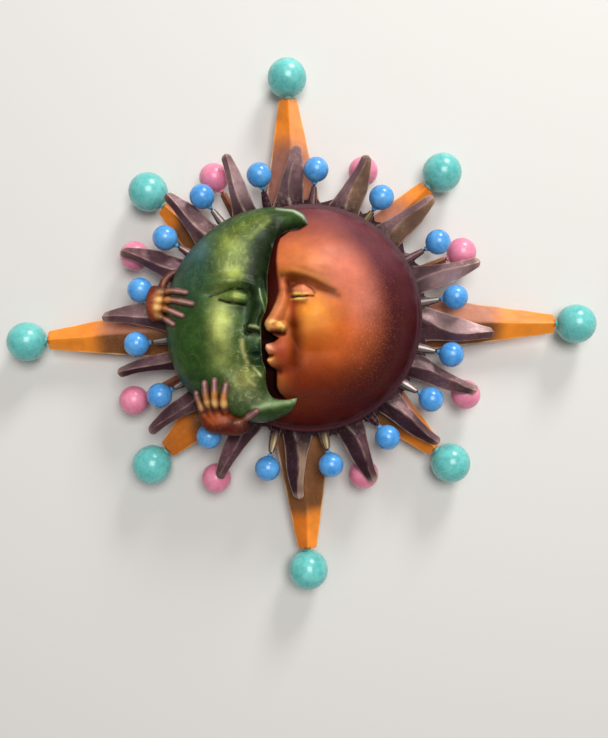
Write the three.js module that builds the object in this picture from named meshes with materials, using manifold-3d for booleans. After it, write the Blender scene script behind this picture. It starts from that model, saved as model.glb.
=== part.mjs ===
// Sun and moon wall hanging: a domed sun and a crescent moon that kiss, held by two hands,
// on a ring of wavy flames. Behind the flames a back board carries long orange rays and thin
// rays, and every ray and prong ends in a painted wooden ball on a pin.
//
// Sizes are millimetres. The hanging is modelled lying face up: x to the right, y up the wall,
// z out of the wall, with the wall at z = 0 and the origin behind the centre of the board.
// The last lines stand the whole group upright.

import * as THREE from "three";
import { mergeVertices } from "three/addons/utils/BufferGeometryUtils.js";
import Module from "manifold-3d";

const wasm = await Module();
wasm.setup();

// Clearance between pieces that touch
const gap = 0.3;

// Back board, an oval of plywood
const boardHalfWidth = 100;
const boardHalfHeight = 94;
const boardThickness = 15;

// Pocket in the back of the board, for the hanging ring
const pocketWidth = 44;
const pocketHeight = 60;
const pocketDepth = 8;
const pocketRise = 52;

// Hanging ring and the strap that folds round its straight side
const ringWire = 2.6;
const ringInnerWidth = 15;
const ringLength = 18;
const ringAxisRise = 56;
const strapWidth = 11;
const strapThickness = 1.2;
const strapLength = 27;
const hingeClearance = 0.4;
const screwHeadDiameter = 5.6;
const screwHeadHeight = 1.6;
const screwShankDiameter = 2.8;
const screwTipCover = 1;
const screwSetback = [7, 23];

// Rays lie between the board and the flame ring. Each has a tang that overlaps the board, and
// widens to its shoulder just outside it.
const rayThickness = 10.7;
const raySideHeight = 3.2;
const rayOverlap = 36;
const rayShoulderReach = 112;
const rayShoulderLength = 14;
const rayTangWidth = 20;
const rayTangEndWidth = 14;
const longRayShoulderWidth = 60;
const shortRayShoulderWidth = 50;
const rayEndWidth = 19;
const rayEndThickness = 14;
const rayEndSideHeight = 5;
const thinRayOverlap = 26;
const thinRayTangWidth = 8;
const thinRayShoulderWidth = 13;
const thinRayEndWidth = 7;
const thinRayEndThickness = 6;
const thinRayEndSideHeight = 2;

// Balls and the pins that hold them
const turquoiseDiameter = 40;
const pinkDiameter = 30;
const blueDiameter = 25;
const ballRise = 22.5;
const pinDiameter = 2.4;
const pinLength = 9;
const ballSeat = 1.5;

// Flame ring: flames and prongs are rooted a little inside the edge of its oval plate
const ringPlateHalfWidth = 104;
const ringPlateHalfHeight = 97;
const ringPlateThickness = 16;
const ringWebMargin = 4;
const ringWebLift = 1.7;
const ringWebThickness = 4;
const flameRootDepth = 9;
const flameRootFlare = 16;
const flameTipWidth = 8;
const flameRootThickness = 13;
const flameTipThickness = 7;
const flameSideShare = 0.4;
const flameLift = 12;
const flameWave = 1.6;
const flameRidgeShift = 0.16;
const prongRootDepth = 8;
const prongRootRise = 5;
const prongRootWidth = 13;
const prongRootThickness = 9;
const prongNeckWidth = 9;
const prongNeckThickness = 6;
const prongNeckReach = 36;
const prongEndWidth = 5;
const blueBallRise = 45;

// Sun dome
const sunRadius = 113;
const sunCentre = [10.5, 4];
const sunHeight = 54;
const sunWall = 9;
const sunRimWidth = 3;
const sunRimHeight = 5;
const sunFaceRise = 9;
const faceFoldWidth = 1.5;
const foreheadFade = [18, 6];
const jawFade = [6, 18];

// Moon crescent, thickest along a crest between its outer edge (0) and inner edge (1), given for
// the upper and the lower horn. The horns are full thickness where they are moonHornWidth wide,
// and the face swells between the two moonFaceWidths.
const moonCrests = [0.42, 0.7];
const moonEdgeRise = 9;
const moonThickness = 10;
const moonFaceThickness = 6;
const moonLip = 3;
const moonHornWidth = 14;
const moonFaceWidths = [25, 75];

// Hands
const fingerRootWidth = 9;
const fingerTipWidth = 7.2;
const fingerProud = 1.6;
const fingerDepth = 9;
const palmThickness = 15;

// Orange rays: angle round the hanging, and reach from the origin to the ball's centre
const orangeRays = {
  right: { angle: 359.9, reach: 284.7, long: true },
  upper_right: { angle: 46.3, reach: 213.3, long: false },
  top: { angle: 92.6, reach: 251.4, long: true },
  upper_left: { angle: 138.8, reach: 204, long: false },
  left: { angle: 183.9, reach: 278.3, long: true },
  lower_left: { angle: 224.1, reach: 208.2, long: false },
  bottom: { angle: 272.4, reach: 252.7, long: true },
  lower_right: { angle: 317.5, reach: 211.9, long: false },
};

// Thin rays: angle, and reach to the pink ball's centre
const thinRays = [
  { angle: 23.4, reach: 182.4 },
  { angle: 66.8, reach: 169.1 },
  { angle: 120.1, reach: 171.9 },
  { angle: 157.6, reach: 180.7 },
  { angle: 205.2, reach: 185.8 },
  { angle: 242.2, reach: 179.2 },
  { angle: 293.5, reach: 168.4 },
  { angle: 336.9, reach: 186.4 },
];

// Prongs of the flame ring: angle, and reach to the blue ball's centre
const prongs = [
  { angle: 9, reach: 159 },
  { angle: 29.7, reach: 160.7 },
  { angle: 56.1, reach: 149.4 },
  { angle: 83.2, reach: 152.9 },
  { angle: 104.8, reach: 151.4 },
  { angle: 127.4, reach: 157.3 },
  { angle: 147.7, reach: 156.6 },
  { angle: 168.6, reach: 160.5 },
  { angle: 187.8, reach: 162.3 },
  { angle: 208, reach: 156.1 },
  { angle: 232.2, reach: 144.5 },
  { angle: 258.3, reach: 149.1 },
  { angle: 283, reach: 146.3 },
  { angle: 307.8, reach: 145.7 },
  { angle: 329.8, reach: 153.5 },
  { angle: 348, reach: 156.5 },
];

// Flames: angles of root and tip, reach of the tip, sideways bow, and width of the middle
const flames = [
  { angle: 359.3, tipAngle: 356.8, reach: 196, bow: 1, width: 27.5 },
  { angle: 21.5, tipAngle: 18.6, reach: 192, bow: -3, width: 23 },
  { angle: 43.8, tipAngle: 42.8, reach: 185, bow: 0, width: 25 },
  { angle: 68.5, tipAngle: 67.4, reach: 181, bow: -2, width: 26 },
  { angle: 96, tipAngle: 90.6, reach: 176, bow: 0, width: 25 },
  { angle: 116.7, tipAngle: 113.6, reach: 183, bow: 0, width: 19.5 },
  { angle: 137.3, tipAngle: 136.1, reach: 184, bow: -1.5, width: 23.5 },
  { angle: 157.3, tipAngle: 158.3, reach: 191, bow: -2.5, width: 23 },
  { angle: 178.2, tipAngle: 178.7, reach: 196, bow: -3, width: 24 },
  { angle: 200, tipAngle: 196, reach: 187, bow: -4, width: 16.5 },
  { angle: 219, tipAngle: 216.7, reach: 185, bow: -3.5, width: 18.5 },
  { angle: 242.4, tipAngle: 243.3, reach: 175, bow: 0, width: 20 },
  { angle: 269.1, tipAngle: 270.4, reach: 177, bow: -1, width: 21 },
  { angle: 295.5, tipAngle: 295.7, reach: 177, bow: 1, width: 23 },
  { angle: 319.5, tipAngle: 319.5, reach: 186, bow: -2.5, width: 20.5 },
  { angle: 341.7, tipAngle: 339.2, reach: 192, bow: -3.5, width: 20 },
];

// Left edge of the sun's face from forehead to jaw: brow, nose, lips and chin in profile
const sunProfile = [
  [-7, 86], [-19, 76], [-24, 65], [-26, 54], [-27.5, 41], [-27.5, 28], [-27, 16.5], [-28, 7],
  [-31.5, -2], [-32, -6], [-30, -11], [-24, -15], [-18.5, -18.5], [-24, -22], [-30.5, -24], [-31.5, -28],
  [-28, -34.5], [-30, -39], [-27, -44], [-21, -49], [-21, -66], [-16, -73.5], [-7, -80],
];

// Moon outline from the upper horn's tip round to the lower horn's tip, outer edge and inner edge
const moonOuter = [
  [10, 92], [6, 102], [-2, 108], [-17, 112], [-35, 111], [-57, 106], [-81, 93], [-103, 73], [-119, 50],
  [-128, 24], [-130, -3], [-127, -30], [-117, -56], [-100, -76], [-79, -90], [-57, -97], [-37, -100],
  [-23, -98], [-12, -90], [0, -74],
];
const moonInner = [
  [10, 92], [1, 86], [-11, 84], [-20, 77], [-24, 65], [-26, 55], [-28, 42], [-28, 28], [-28, 17],
  [-30, 7], [-34, -2], [-34, -14], [-34, -26], [-33, -38], [-30, -48], [-30, -57], [-28, -68],
  [-22, -75], [-11, -76], [0, -74],
];

// Features of each face: centre, half width, half height, and rise above the face
const sunFeatures = [
  { part: "forehead", x: 16, y: 62, halfWidth: 48, halfHeight: 24, rise: 4 },
  { part: "brow", x: -8, y: 42, halfWidth: 14, halfHeight: 6, rise: 5 },
  { part: "brow's outer end", x: 18, y: 38, halfWidth: 18, halfHeight: 7, rise: 5 },
  { part: "eye socket", x: 2, y: 28, halfWidth: 20, halfHeight: 8, rise: -8 },
  { part: "inner corner of the eye", x: -13, y: 24, halfWidth: 6, halfHeight: 9, rise: -8 },
  { part: "eyelid", x: 6, y: 23, halfWidth: 11, halfHeight: 5, rise: 9 },
  { part: "fold under the eye", x: 6, y: 15, halfWidth: 14, halfHeight: 4, rise: -4 },
  { part: "bridge of the nose", x: -21, y: 18, halfWidth: 6, halfHeight: 14, rise: 8 },
  { part: "tip of the nose", x: -26, y: -3, halfWidth: 8, halfHeight: 8, rise: 13 },
  { part: "wing of the nose", x: -15, y: -8, halfWidth: 6, halfHeight: 6, rise: 9 },
  { part: "upper lip", x: -26, y: -27, halfWidth: 9, halfHeight: 5, rise: 10 },
  { part: "lower lip", x: -25, y: -39, halfWidth: 8, halfHeight: 5, rise: 9 },
  { part: "mouth", x: -17, y: -32, halfWidth: 14, halfHeight: 15, rise: 5 },
  { part: "fold of the mouth", x: -5, y: -24, halfWidth: 5, halfHeight: 16, rise: -4 },
  { part: "chin", x: -14, y: -60, halfWidth: 14, halfHeight: 11, rise: 9 },
  { part: "cheek", x: 14, y: -8, halfWidth: 24, halfHeight: 24, rise: 7 },
];
const moonFeatures = [
  { part: "brow", x: -62, y: 35, halfWidth: 22, halfHeight: 6, rise: 4 },
  { part: "eye socket", x: -62, y: 24, halfWidth: 21, halfHeight: 7, rise: -7 },
  { part: "eyelid", x: -61, y: 18, halfWidth: 13, halfHeight: 5, rise: 8 },
  { part: "fold under the eye", x: -62, y: 9, halfWidth: 14, halfHeight: 4, rise: -4 },
  { part: "bridge of the nose", x: -38, y: 18, halfWidth: 7, halfHeight: 15, rise: 8 },
  { part: "tip of the nose", x: -40, y: -7, halfWidth: 8, halfHeight: 8, rise: 11 },
  { part: "upper lip", x: -40, y: -25, halfWidth: 9, halfHeight: 5, rise: 8 },
  { part: "lower lip", x: -40, y: -37, halfWidth: 9, halfHeight: 5, rise: 7 },
  { part: "chin", x: -42, y: -55, halfWidth: 13, halfHeight: 11, rise: 9 },
  { part: "cheek", x: -74, y: -8, halfWidth: 20, halfHeight: 24, rise: 5 },
];

// Hands: tip and root of each finger, then each palm and the lower hand's wrist as an oval
const upperHand = {
  fingers: [
    { tip: [-104, 25], root: [-135, 29] },
    { tip: [-97, 14], root: [-138, 21] },
    { tip: [-107, 3], root: [-139, 13] },
    { tip: [-117, -5], root: [-137, 5] },
    { tip: [-119, 50], root: [-134, 32] },
  ],
  ovals: [{ x: -139, y: 17, halfWidth: 10, halfHeight: 19, rise: 15 }],
};
const lowerHand = {
  fingers: [
    { tip: [-97, -68], root: [-90, -91] },
    { tip: [-88, -58], root: [-84, -88] },
    { tip: [-78, -55], root: [-77, -87] },
    { tip: [-67, -60], root: [-68, -87] },
    { tip: [-37, -85], root: [-66, -99] },
  ],
  ovals: [
    { x: -75, y: -98, halfWidth: 19, halfHeight: 13, rise: 26 },
    { x: -60, y: -104, halfWidth: 20, halfHeight: 10, rise: 21 },
  ],
};

// Heights of the stacked layers
const rayBack = boardThickness + gap;
const rayFront = rayBack + rayThickness;
const plateBack = rayFront + gap;
const plateFront = plateBack + ringPlateThickness;
const reliefBack = plateFront + gap;

const radians = (degrees) => (degrees * Math.PI) / 180;
const smoothstep = (low, high, value) => THREE.MathUtils.smoothstep(value, low, high);
const lerp = THREE.MathUtils.lerp;

// Reach of an oval's edge from its centre at an angle
function ovalReach(halfWidth, halfHeight, angle) {
  const [across, up] = [Math.cos(radians(angle)) / halfWidth, Math.sin(radians(angle)) / halfHeight];
  return 1 / Math.hypot(across, up);
}

function paint(color, roughness, metalness = 0) {
  return new THREE.MeshStandardMaterial({ color, roughness, metalness });
}
const orangePaint = paint(0xc8702c, 0.5);
const plumPaint = paint(0x5a3a42, 0.45, 0.2);
const steel = paint(0x9a9a96, 0.35, 1);

// Solids

function solid(geometry) {
  const bare = geometry.clone();
  for (const name of Object.keys(bare.attributes)) {
    if (name !== "position") bare.deleteAttribute(name);
  }
  const merged = mergeVertices(bare, 1e-4);
  const corners = merged.index.array;
  const kept = [];
  for (let i = 0; i < corners.length; i += 3) {
    const [a, b, c] = [corners[i], corners[i + 1], corners[i + 2]];
    if (a !== b && b !== c && c !== a) kept.push(a, b, c);
  }
  const mesh = new wasm.Mesh({
    numProp: 3,
    vertProperties: merged.attributes.position.array,
    triVerts: new Uint32Array(kept),
  });
  return new wasm.Manifold(mesh);
}

function geometryOf(manifold) {
  const mesh = manifold.getMesh();
  const geometry = new THREE.BufferGeometry();
  geometry.setAttribute("position", new THREE.BufferAttribute(mesh.vertProperties, 3));
  geometry.setIndex(new THREE.BufferAttribute(mesh.triVerts, 1));
  const flat = geometry.toNonIndexed();
  flat.computeVertexNormals();
  return flat;
}

function joined(solids) {
  return solids.reduce((whole, next) => whole.add(next));
}

function largestPiece(manifold) {
  const pieces = manifold.decompose().sort((one, other) => other.volume() - one.volume());
  return pieces[0];
}

// Closed skin through rings of points, all of one length, with flat ends
function loftGeometry(rings) {
  const sides = rings[0].length;
  const index = [];
  for (let ring = 0; ring < rings.length - 1; ring += 1) {
    for (let side = 0; side < sides; side += 1) {
      const [a, b] = [ring * sides + side, ring * sides + ((side + 1) % sides)];
      index.push(a, b + sides, a + sides, a, b, b + sides);
    }
  }
  const last = (rings.length - 1) * sides;
  for (let side = 1; side < sides - 1; side += 1) {
    index.push(0, side + 1, side, last, last + side, last + side + 1);
  }
  const geometry = new THREE.BufferGeometry();
  geometry.setAttribute("position", new THREE.Float32BufferAttribute(rings.flat(2), 3));
  geometry.setIndex(index);
  return geometry;
}

// Closed skin over a grid of points: rows of equal length, each row [x, y, z][]. The sides drop
// straight from the border of the grid to the level floor.
function reliefGeometry(rows, floor) {
  const columns = rows[0].length;
  const positions = [];
  const index = [];
  const corner = (row, column) => row * columns + column;
  rows.forEach((row) => row.forEach((point) => positions.push(...point)));
  const base = rows.length * columns;
  const below = new Map();
  const under = (vertex) => {
    if (!below.has(vertex)) {
      below.set(vertex, base + below.size);
      positions.push(positions[vertex * 3], positions[vertex * 3 + 1], floor);
    }
    return below.get(vertex);
  };
  const wall = (a, b) => index.push(a, b, under(b), a, under(b), under(a));
  for (let row = 0; row < rows.length - 1; row += 1) {
    for (let column = 0; column < columns - 1; column += 1) {
      const [a, b] = [corner(row, column), corner(row, column + 1)];
      const [c, d] = [corner(row + 1, column + 1), corner(row + 1, column)];
      index.push(a, b, c, a, c, d);
    }
    wall(corner(row, 0), corner(row + 1, 0));
    wall(corner(row + 1, columns - 1), corner(row, columns - 1));
    const [left, right] = [under(corner(row, 0)), under(corner(row, columns - 1))];
    const [nextLeft, nextRight] = [under(corner(row + 1, 0)), under(corner(row + 1, columns - 1))];
    index.push(left, nextLeft, nextRight, left, nextRight, right);
  }
  const geometry = new THREE.BufferGeometry();
  geometry.setAttribute("position", new THREE.Float32BufferAttribute(positions, 3));
  geometry.setIndex(index);
  return geometry;
}

// Rounded swellings and hollows added to a face
function featureRise(features, x, y) {
  return features.reduce((sum, feature) => {
    const across = (x - feature.x) / feature.halfWidth;
    const up = (y - feature.y) / feature.halfHeight;
    return sum + feature.rise * Math.exp(-(across ** 2) - up ** 2);
  }, 0);
}

// Back board and hanger

function ovalShape(halfWidth, halfHeight) {
  const shape = new THREE.Shape();
  shape.absellipse(0, 0, halfWidth, halfHeight, 0, 2 * Math.PI);
  return shape;
}

function rod(diameter, length, sides) {
  return new THREE.CylinderGeometry(diameter / 2, diameter / 2, length, sides);
}

const ringAxisHeight = pocketDepth - gap - hingeClearance - strapThickness - ringWire / 2;
const strapTop = ringAxisRise;
const strapFloor = pocketDepth - gap;
const screwHeadBack = strapFloor - strapThickness - gap - screwHeadHeight;
const screwLength = boardThickness - screwTipCover - screwHeadBack;

function backBoard() {
  const plate = new THREE.ExtrudeGeometry(ovalShape(boardHalfWidth, boardHalfHeight), {
    depth: boardThickness,
    bevelEnabled: false,
    curveSegments: 36,
  });
  const pocket = new THREE.BoxGeometry(pocketWidth, pocketHeight, pocketDepth * 2)
    .translate(0, pocketRise, 0);
  let board = solid(plate).subtract(solid(pocket));
  for (const setback of screwSetback) {
    const pilot = rod(screwShankDiameter + 2 * gap, screwLength, 8)
      .rotateX(Math.PI / 2)
      .translate(0, strapTop - setback, screwHeadBack + gap + screwLength / 2);
    board = board.subtract(solid(pilot));
  }
  return geometryOf(board);
}

// Strap: a strip folded round the ring's straight side, with two screw holes
function hangerStrap() {
  const eyeInner = ringWire / 2 + hingeClearance;
  const eyeOuter = eyeInner + strapThickness;
  const profile = new THREE.Shape();
  const eyeHeight = ringAxisHeight;
  const arcSteps = 14;
  const start = Math.asin((strapFloor - strapThickness - eyeHeight) / eyeOuter);
  profile.moveTo(strapTop - strapLength, strapFloor);
  profile.lineTo(strapTop - strapLength, strapFloor - strapThickness);
  for (let step = 0; step <= arcSteps; step += 1) {
    const turn = lerp(Math.PI - start, Math.PI * 2 + Math.PI / 2, step / arcSteps);
    profile.lineTo(strapTop + eyeOuter * Math.cos(turn), eyeHeight + eyeOuter * Math.sin(turn));
  }
  profile.closePath();
  const bore = new THREE.Path();
  bore.absarc(strapTop, eyeHeight, eyeInner, 0, 2 * Math.PI, true);
  profile.holes.push(bore);
  const strip = new THREE.ExtrudeGeometry(profile, {
    depth: strapWidth,
    bevelEnabled: false,
    curveSegments: 7,
  });
  // The profile is drawn in (y, z), so its own x turns to y and its own y to z
  const upright = new THREE.Matrix4().makeBasis(
    new THREE.Vector3(0, 1, 0),
    new THREE.Vector3(0, 0, 1),
    new THREE.Vector3(1, 0, 0),
  );
  strip.applyMatrix4(upright).translate(-strapWidth / 2, 0, 0);
  let strap = solid(strip);
  for (const setback of screwSetback) {
    const hole = rod(screwShankDiameter + 2 * gap, pocketDepth, 8)
      .rotateX(Math.PI / 2)
      .translate(0, strapTop - setback, strapFloor);
    strap = strap.subtract(solid(hole));
  }
  return geometryOf(strap);
}

// Ring: a bent wire with one straight side, which is the hinge pin
function hangingRing() {
  const halfWidth = (ringInnerWidth + ringWire) / 2;
  const bend = halfWidth * 0.7;
  const drop = ringLength;
  const path = new THREE.CurvePath();
  const at = (x, y) => new THREE.Vector3(x, ringAxisRise + y, ringAxisHeight);
  path.add(new THREE.LineCurve3(at(-halfWidth, 0), at(-halfWidth, -drop + bend)));
  const lowest = at(0, -drop);
  for (const side of [-halfWidth, halfWidth]) {
    const [straight, corner] = [at(side, -drop + bend), at(side, -drop)];
    const [first, last] = side < 0 ? [straight, lowest] : [lowest, straight];
    path.add(new THREE.QuadraticBezierCurve3(first, corner, last));
  }
  path.add(new THREE.LineCurve3(at(halfWidth, -drop + bend), at(halfWidth, 0)));
  const section = new THREE.Shape();
  section.absarc(0, 0, ringWire / 2, 0, 2 * Math.PI);
  const bow = new THREE.ExtrudeGeometry(section, { steps: 22, extrudePath: path, curveSegments: 4 });
  const bar = rod(ringWire, 2 * halfWidth + ringWire, 8)
    .rotateZ(Math.PI / 2)
    .translate(0, ringAxisRise, ringAxisHeight);
  return geometryOf(solid(bow).add(solid(bar)));
}

function hangerScrew(setback) {
  const shank = screwShankDiameter / 2;
  const head = screwHeadDiameter / 2;
  const tip = screwShankDiameter;
  const profile = [
    [0, 0], [head * 0.7, 0], [head, screwHeadHeight * 0.5], [head, screwHeadHeight],
    [shank, screwHeadHeight], [shank, screwLength - tip], [0, screwLength],
  ].map(([r, h]) => new THREE.Vector2(r, h));
  return new THREE.LatheGeometry(profile, 10)
    .rotateX(Math.PI / 2)
    .translate(0, strapTop - setback, screwHeadBack);
}

// Balls: each is drilled for its pin. The bore's mouth faces back down the pin.

function ball(diameter, segments) {
  const radius = diameter / 2;
  const bore = pinDiameter / 2 + gap;
  const rings = 5;
  const boreEnd = pinLength + gap - radius;
  const points = [new THREE.Vector2(0, boreEnd), new THREE.Vector2(bore, boreEnd)];
  const mouth = Math.asin(bore / radius);
  for (let ring = 0; ring <= rings; ring += 1) {
    const turn = lerp(mouth, Math.PI, ring / rings);
    points.push(new THREE.Vector2(radius * Math.sin(turn), -radius * Math.cos(turn)));
  }
  points[points.length - 1].x = 0;
  return new THREE.LatheGeometry(points, segments);
}

// A placed frame: its y axis points along the pin and its z axis out of the wall, tilted by slope
function placeOutward(object, angle, reach, height, slope = 0) {
  object.position.set(reach * Math.cos(radians(angle)), reach * Math.sin(radians(angle)), height);
  object.rotation.set(slope, 0, radians(angle - 90), "ZXY");
  return object;
}

// Bar of five-sided section laid along y: flat back, low sides and a ridge down the middle
function ridgedBar(stations) {
  return loftGeometry(stations.map((station) => {
    const { along, across = 0, halfWidth, back, side, ridge, ridgeOffset = 0 } = station;
    return [
      [across - halfWidth, along, back],
      [across - halfWidth, along, side],
      [across + ridgeOffset, along, ridge],
      [across + halfWidth, along, side],
      [across + halfWidth, along, back],
    ];
  }));
}

// Pin that stands out of the end of a bar and goes into the ball
function pinGeometry(end, height) {
  const buried = pinLength;
  return rod(pinDiameter, buried + ballSeat + pinLength, 6)
    .translate(0, end + (ballSeat + pinLength - buried) / 2, height);
}

function orangeRay(angle, reach, long) {
  const end = reach - turquoiseDiameter / 2 - ballSeat;
  const root = ovalReach(boardHalfWidth, boardHalfHeight, angle) - rayOverlap;
  const shoulderWidth = long ? longRayShoulderWidth : shortRayShoulderWidth;
  const endBack = ballRise - rayEndThickness / 2;
  const flat = { back: rayBack, side: rayBack + raySideHeight, ridge: rayFront };
  const bar = ridgedBar([
    { along: root, halfWidth: rayTangEndWidth / 2, ...flat },
    { along: rayShoulderReach - rayShoulderLength, halfWidth: rayTangWidth / 2, ...flat },
    { along: rayShoulderReach, halfWidth: shoulderWidth / 2, ...flat },
    {
      along: end,
      halfWidth: rayEndWidth / 2,
      back: endBack,
      side: endBack + rayEndSideHeight,
      ridge: endBack + rayEndThickness,
    },
  ]);
  return geometryOf(solid(bar).add(solid(pinGeometry(end, ballRise))));
}

function thinRay(angle, reach) {
  const end = reach - pinkDiameter / 2 - ballSeat;
  const root = ovalReach(boardHalfWidth, boardHalfHeight, angle) - thinRayOverlap;
  const endBack = ballRise - thinRayEndThickness / 2;
  const flat = { back: rayBack, side: rayBack + raySideHeight, ridge: rayFront };
  const bar = ridgedBar([
    { along: root, halfWidth: thinRayTangWidth / 2, ...flat },
    { along: rayShoulderReach, halfWidth: thinRayShoulderWidth / 2, ...flat },
    {
      along: end,
      halfWidth: thinRayEndWidth / 2,
      back: endBack,
      side: endBack + thinRayEndSideHeight,
      ridge: endBack + thinRayEndThickness,
    },
  ]);
  return geometryOf(solid(bar).add(solid(pinGeometry(end, ballRise))));
}

// Flame ring: a flat plate with sixteen flames and sixteen prongs in one casting. A thin web
// shows all round the dome and joins their roots.

function plateEdge(angle) {
  return ovalReach(ringPlateHalfWidth, ringPlateHalfHeight, angle);
}

// A flame sways from its root to its tip, rises clear of the plate and narrows to a blunt end
function flameStations({ angle, tipAngle, reach, bow, width }) {
  const steps = 8;
  const root = plateEdge(angle) - flameRootDepth;
  const turned = radians(tipAngle - angle);
  const stations = [];
  for (let step = 0; step <= steps; step += 1) {
    const t = step / steps;
    const wave = 2 * Math.PI * t;
    const along = lerp(root, reach, t);
    const flared = width + flameRootFlare * (1 - smoothstep(0.05, 0.6, t));
    const narrowed = lerp(flared, flameTipWidth, smoothstep(0.5, 1.05, t));
    const back = plateBack + flameLift * smoothstep(0.15, 0.85, t);
    const thickness = lerp(flameRootThickness, flameTipThickness, t);
    stations.push({
      along,
      across: -along * Math.sin(turned * t) - bow * Math.sin(wave / 2) - flameWave * Math.sin(wave),
      halfWidth: narrowed / 2,
      back,
      side: back + thickness * flameSideShare,
      ridge: back + thickness,
      ridgeOffset: narrowed * flameRidgeShift * Math.sin(wave + 0.6),
    });
  }
  return stations;
}

const prongRootHeight = plateBack + prongRootRise;

// Slope and length of the line from a prong's root to its ball's centre
function prongLine({ angle, reach }) {
  const root = plateEdge(angle) - prongRootDepth;
  const [run, rise] = [reach - root, blueBallRise - prongRootHeight];
  return { root, slope: Math.atan2(rise, run), length: Math.hypot(rise, run) };
}

function prong(length) {
  const end = length - blueDiameter / 2 - ballSeat;
  const section = (along, width, thickness) => {
    return { along, halfWidth: width / 2, back: -thickness / 2, side: 0, ridge: thickness / 2 };
  };
  const bar = ridgedBar([
    section(0, prongRootWidth, prongRootThickness),
    section(prongNeckReach, prongNeckWidth, prongNeckThickness),
    section(end, prongEndWidth, prongEndWidth),
  ]);
  return solid(bar).add(solid(pinGeometry(end, 0)));
}

function flameRing() {
  const plate = new THREE.ExtrudeGeometry(ovalShape(ringPlateHalfWidth, ringPlateHalfHeight), {
    depth: ringPlateThickness,
    bevelEnabled: false,
    curveSegments: 32,
  }).translate(0, 0, plateBack);
  const webRadius = sunRadius + ringWebMargin;
  const web = new THREE.ExtrudeGeometry(ovalShape(webRadius, webRadius), {
    depth: ringWebThickness,
    bevelEnabled: false,
    curveSegments: 32,
  }).translate(sunCentre[0], sunCentre[1], plateBack + ringWebLift);
  const pieces = [solid(plate), solid(web)];
  for (const entry of flames) {
    pieces.push(solid(ridgedBar(flameStations(entry)).rotateZ(radians(entry.angle - 90))));
  }
  for (const entry of prongs) {
    const { root, slope, length } = prongLine(entry);
    const holder = placeOutward(new THREE.Object3D(), entry.angle, root, prongRootHeight, slope);
    holder.updateMatrix();
    pieces.push(prong(length).transform(holder.matrix.elements));
  }
  return geometryOf(joined(pieces));
}

// Sun: a hollow dome whose rows run across it and follow the profile of the face

const profileTop = sunProfile[0][1];
const profileBottom = sunProfile[sunProfile.length - 1][1];

// x of the face's profile at height y
function profileAt(y) {
  if (y >= profileTop) return sunProfile[0][0];
  if (y <= profileBottom) return sunProfile[sunProfile.length - 1][0];
  const next = sunProfile.findIndex(([, py]) => py < y);
  const [x0, y0] = sunProfile[next - 1];
  const [x1, y1] = sunProfile[next];
  return lerp(x0, x1, (y0 - y) / (y0 - y1));
}

function sunSurface(x, y, spread = 0) {
  const [cx, cy] = sunCentre;
  const reach = Math.hypot(x - cx, y - cy) / (sunRadius + spread - sunRimWidth);
  if (reach >= 1) return reliefBack + sunRimHeight + spread;
  const dome = sunHeight * Math.sqrt(1 - reach ** 2);
  const inFace = smoothstep(-faceFoldWidth, faceFoldWidth, x - profileAt(y) + spread);
  const belowBrow = 1 - smoothstep(profileTop - foreheadFade[0], profileTop + foreheadFade[1], y);
  const aboveJaw = smoothstep(profileBottom - jawFade[0], profileBottom + jawFade[1], y);
  const bulge = sunFaceRise * (1 - smoothstep(0.4, 0.95, reach)) * belowBrow * aboveJaw;
  const rise = (bulge + featureRise(sunFeatures, x, y)) * inFace * (1 - smoothstep(0.8, 1, reach));
  return reliefBack + Math.max(sunRimHeight, dome) + rise + spread;
}

// Closed skin of the sun, grown by spread. Its columns crowd at the fold beside the face and at
// the rim, and its rows crowd at the top and bottom.
function sunSkin(spread) {
  const [cx, cy] = sunCentre;
  const radius = sunRadius + spread;
  const rowCount = 60;
  const leftCount = 8;
  const rightCount = 21;
  const rows = [];
  for (let row = 0; row <= rowCount; row += 1) {
    const share = row / rowCount;
    const rise = lerp(2 * share - 1, -Math.cos(Math.PI * share), 0.6);
    const y = cy + radius * rise;
    const half = radius * Math.sqrt(1 - rise ** 2);
    const line = THREE.MathUtils.clamp(profileAt(y) - spread, cx - half * 0.9, cx + half * 0.9);
    const edge = Math.min(faceFoldWidth, half * 0.05);
    const columns = [];
    for (let column = 0; column <= leftCount; column += 1) {
      const t = 1 - Math.cos((column / leftCount) * (Math.PI / 2));
      columns.push(lerp(cx - half, line - edge, t));
    }
    for (let column = 0; column <= rightCount; column += 1) {
      const t = column / rightCount;
      const crowded = lerp(t, 0.5 - 0.5 * Math.cos(Math.PI * t), 0.6);
      columns.push(lerp(line + edge, cx + half, crowded));
    }
    const points = columns.map((x) => [x, y, sunSurface(x, y, spread)]);
    points[0][2] = reliefBack + sunRimHeight + spread;
    points[points.length - 1][2] = points[0][2];
    rows.push(points);
  }
  return solid(reliefGeometry(rows, reliefBack - spread));
}

function sunShell() {
  const [cx, cy] = sunCentre;
  const radius = sunRadius - sunWall;
  const height = sunHeight - sunWall;
  const points = [new THREE.Vector2(0, -1), new THREE.Vector2(radius, -1)];
  const rings = 6;
  for (let ring = 0; ring <= rings; ring += 1) {
    const turn = (ring / rings) * (Math.PI / 2);
    points.push(new THREE.Vector2(radius * Math.cos(turn), height * Math.sin(turn)));
  }
  points[points.length - 1].x = 0;
  const hollow = new THREE.LatheGeometry(points, 32)
    .rotateX(Math.PI / 2)
    .translate(cx, cy, reliefBack);
  return geometryOf(sunSkin(0).subtract(solid(hollow)));
}

// Moon: rungs run from the outer edge to the inner edge, from the upper horn to the lower

const curveThrough = (points) => new THREE.SplineCurve(points.map(([x, y]) => new THREE.Vector2(x, y)));
const moonOuterCurve = curveThrough(moonOuter);
const moonInnerCurve = curveThrough(moonInner);

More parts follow.
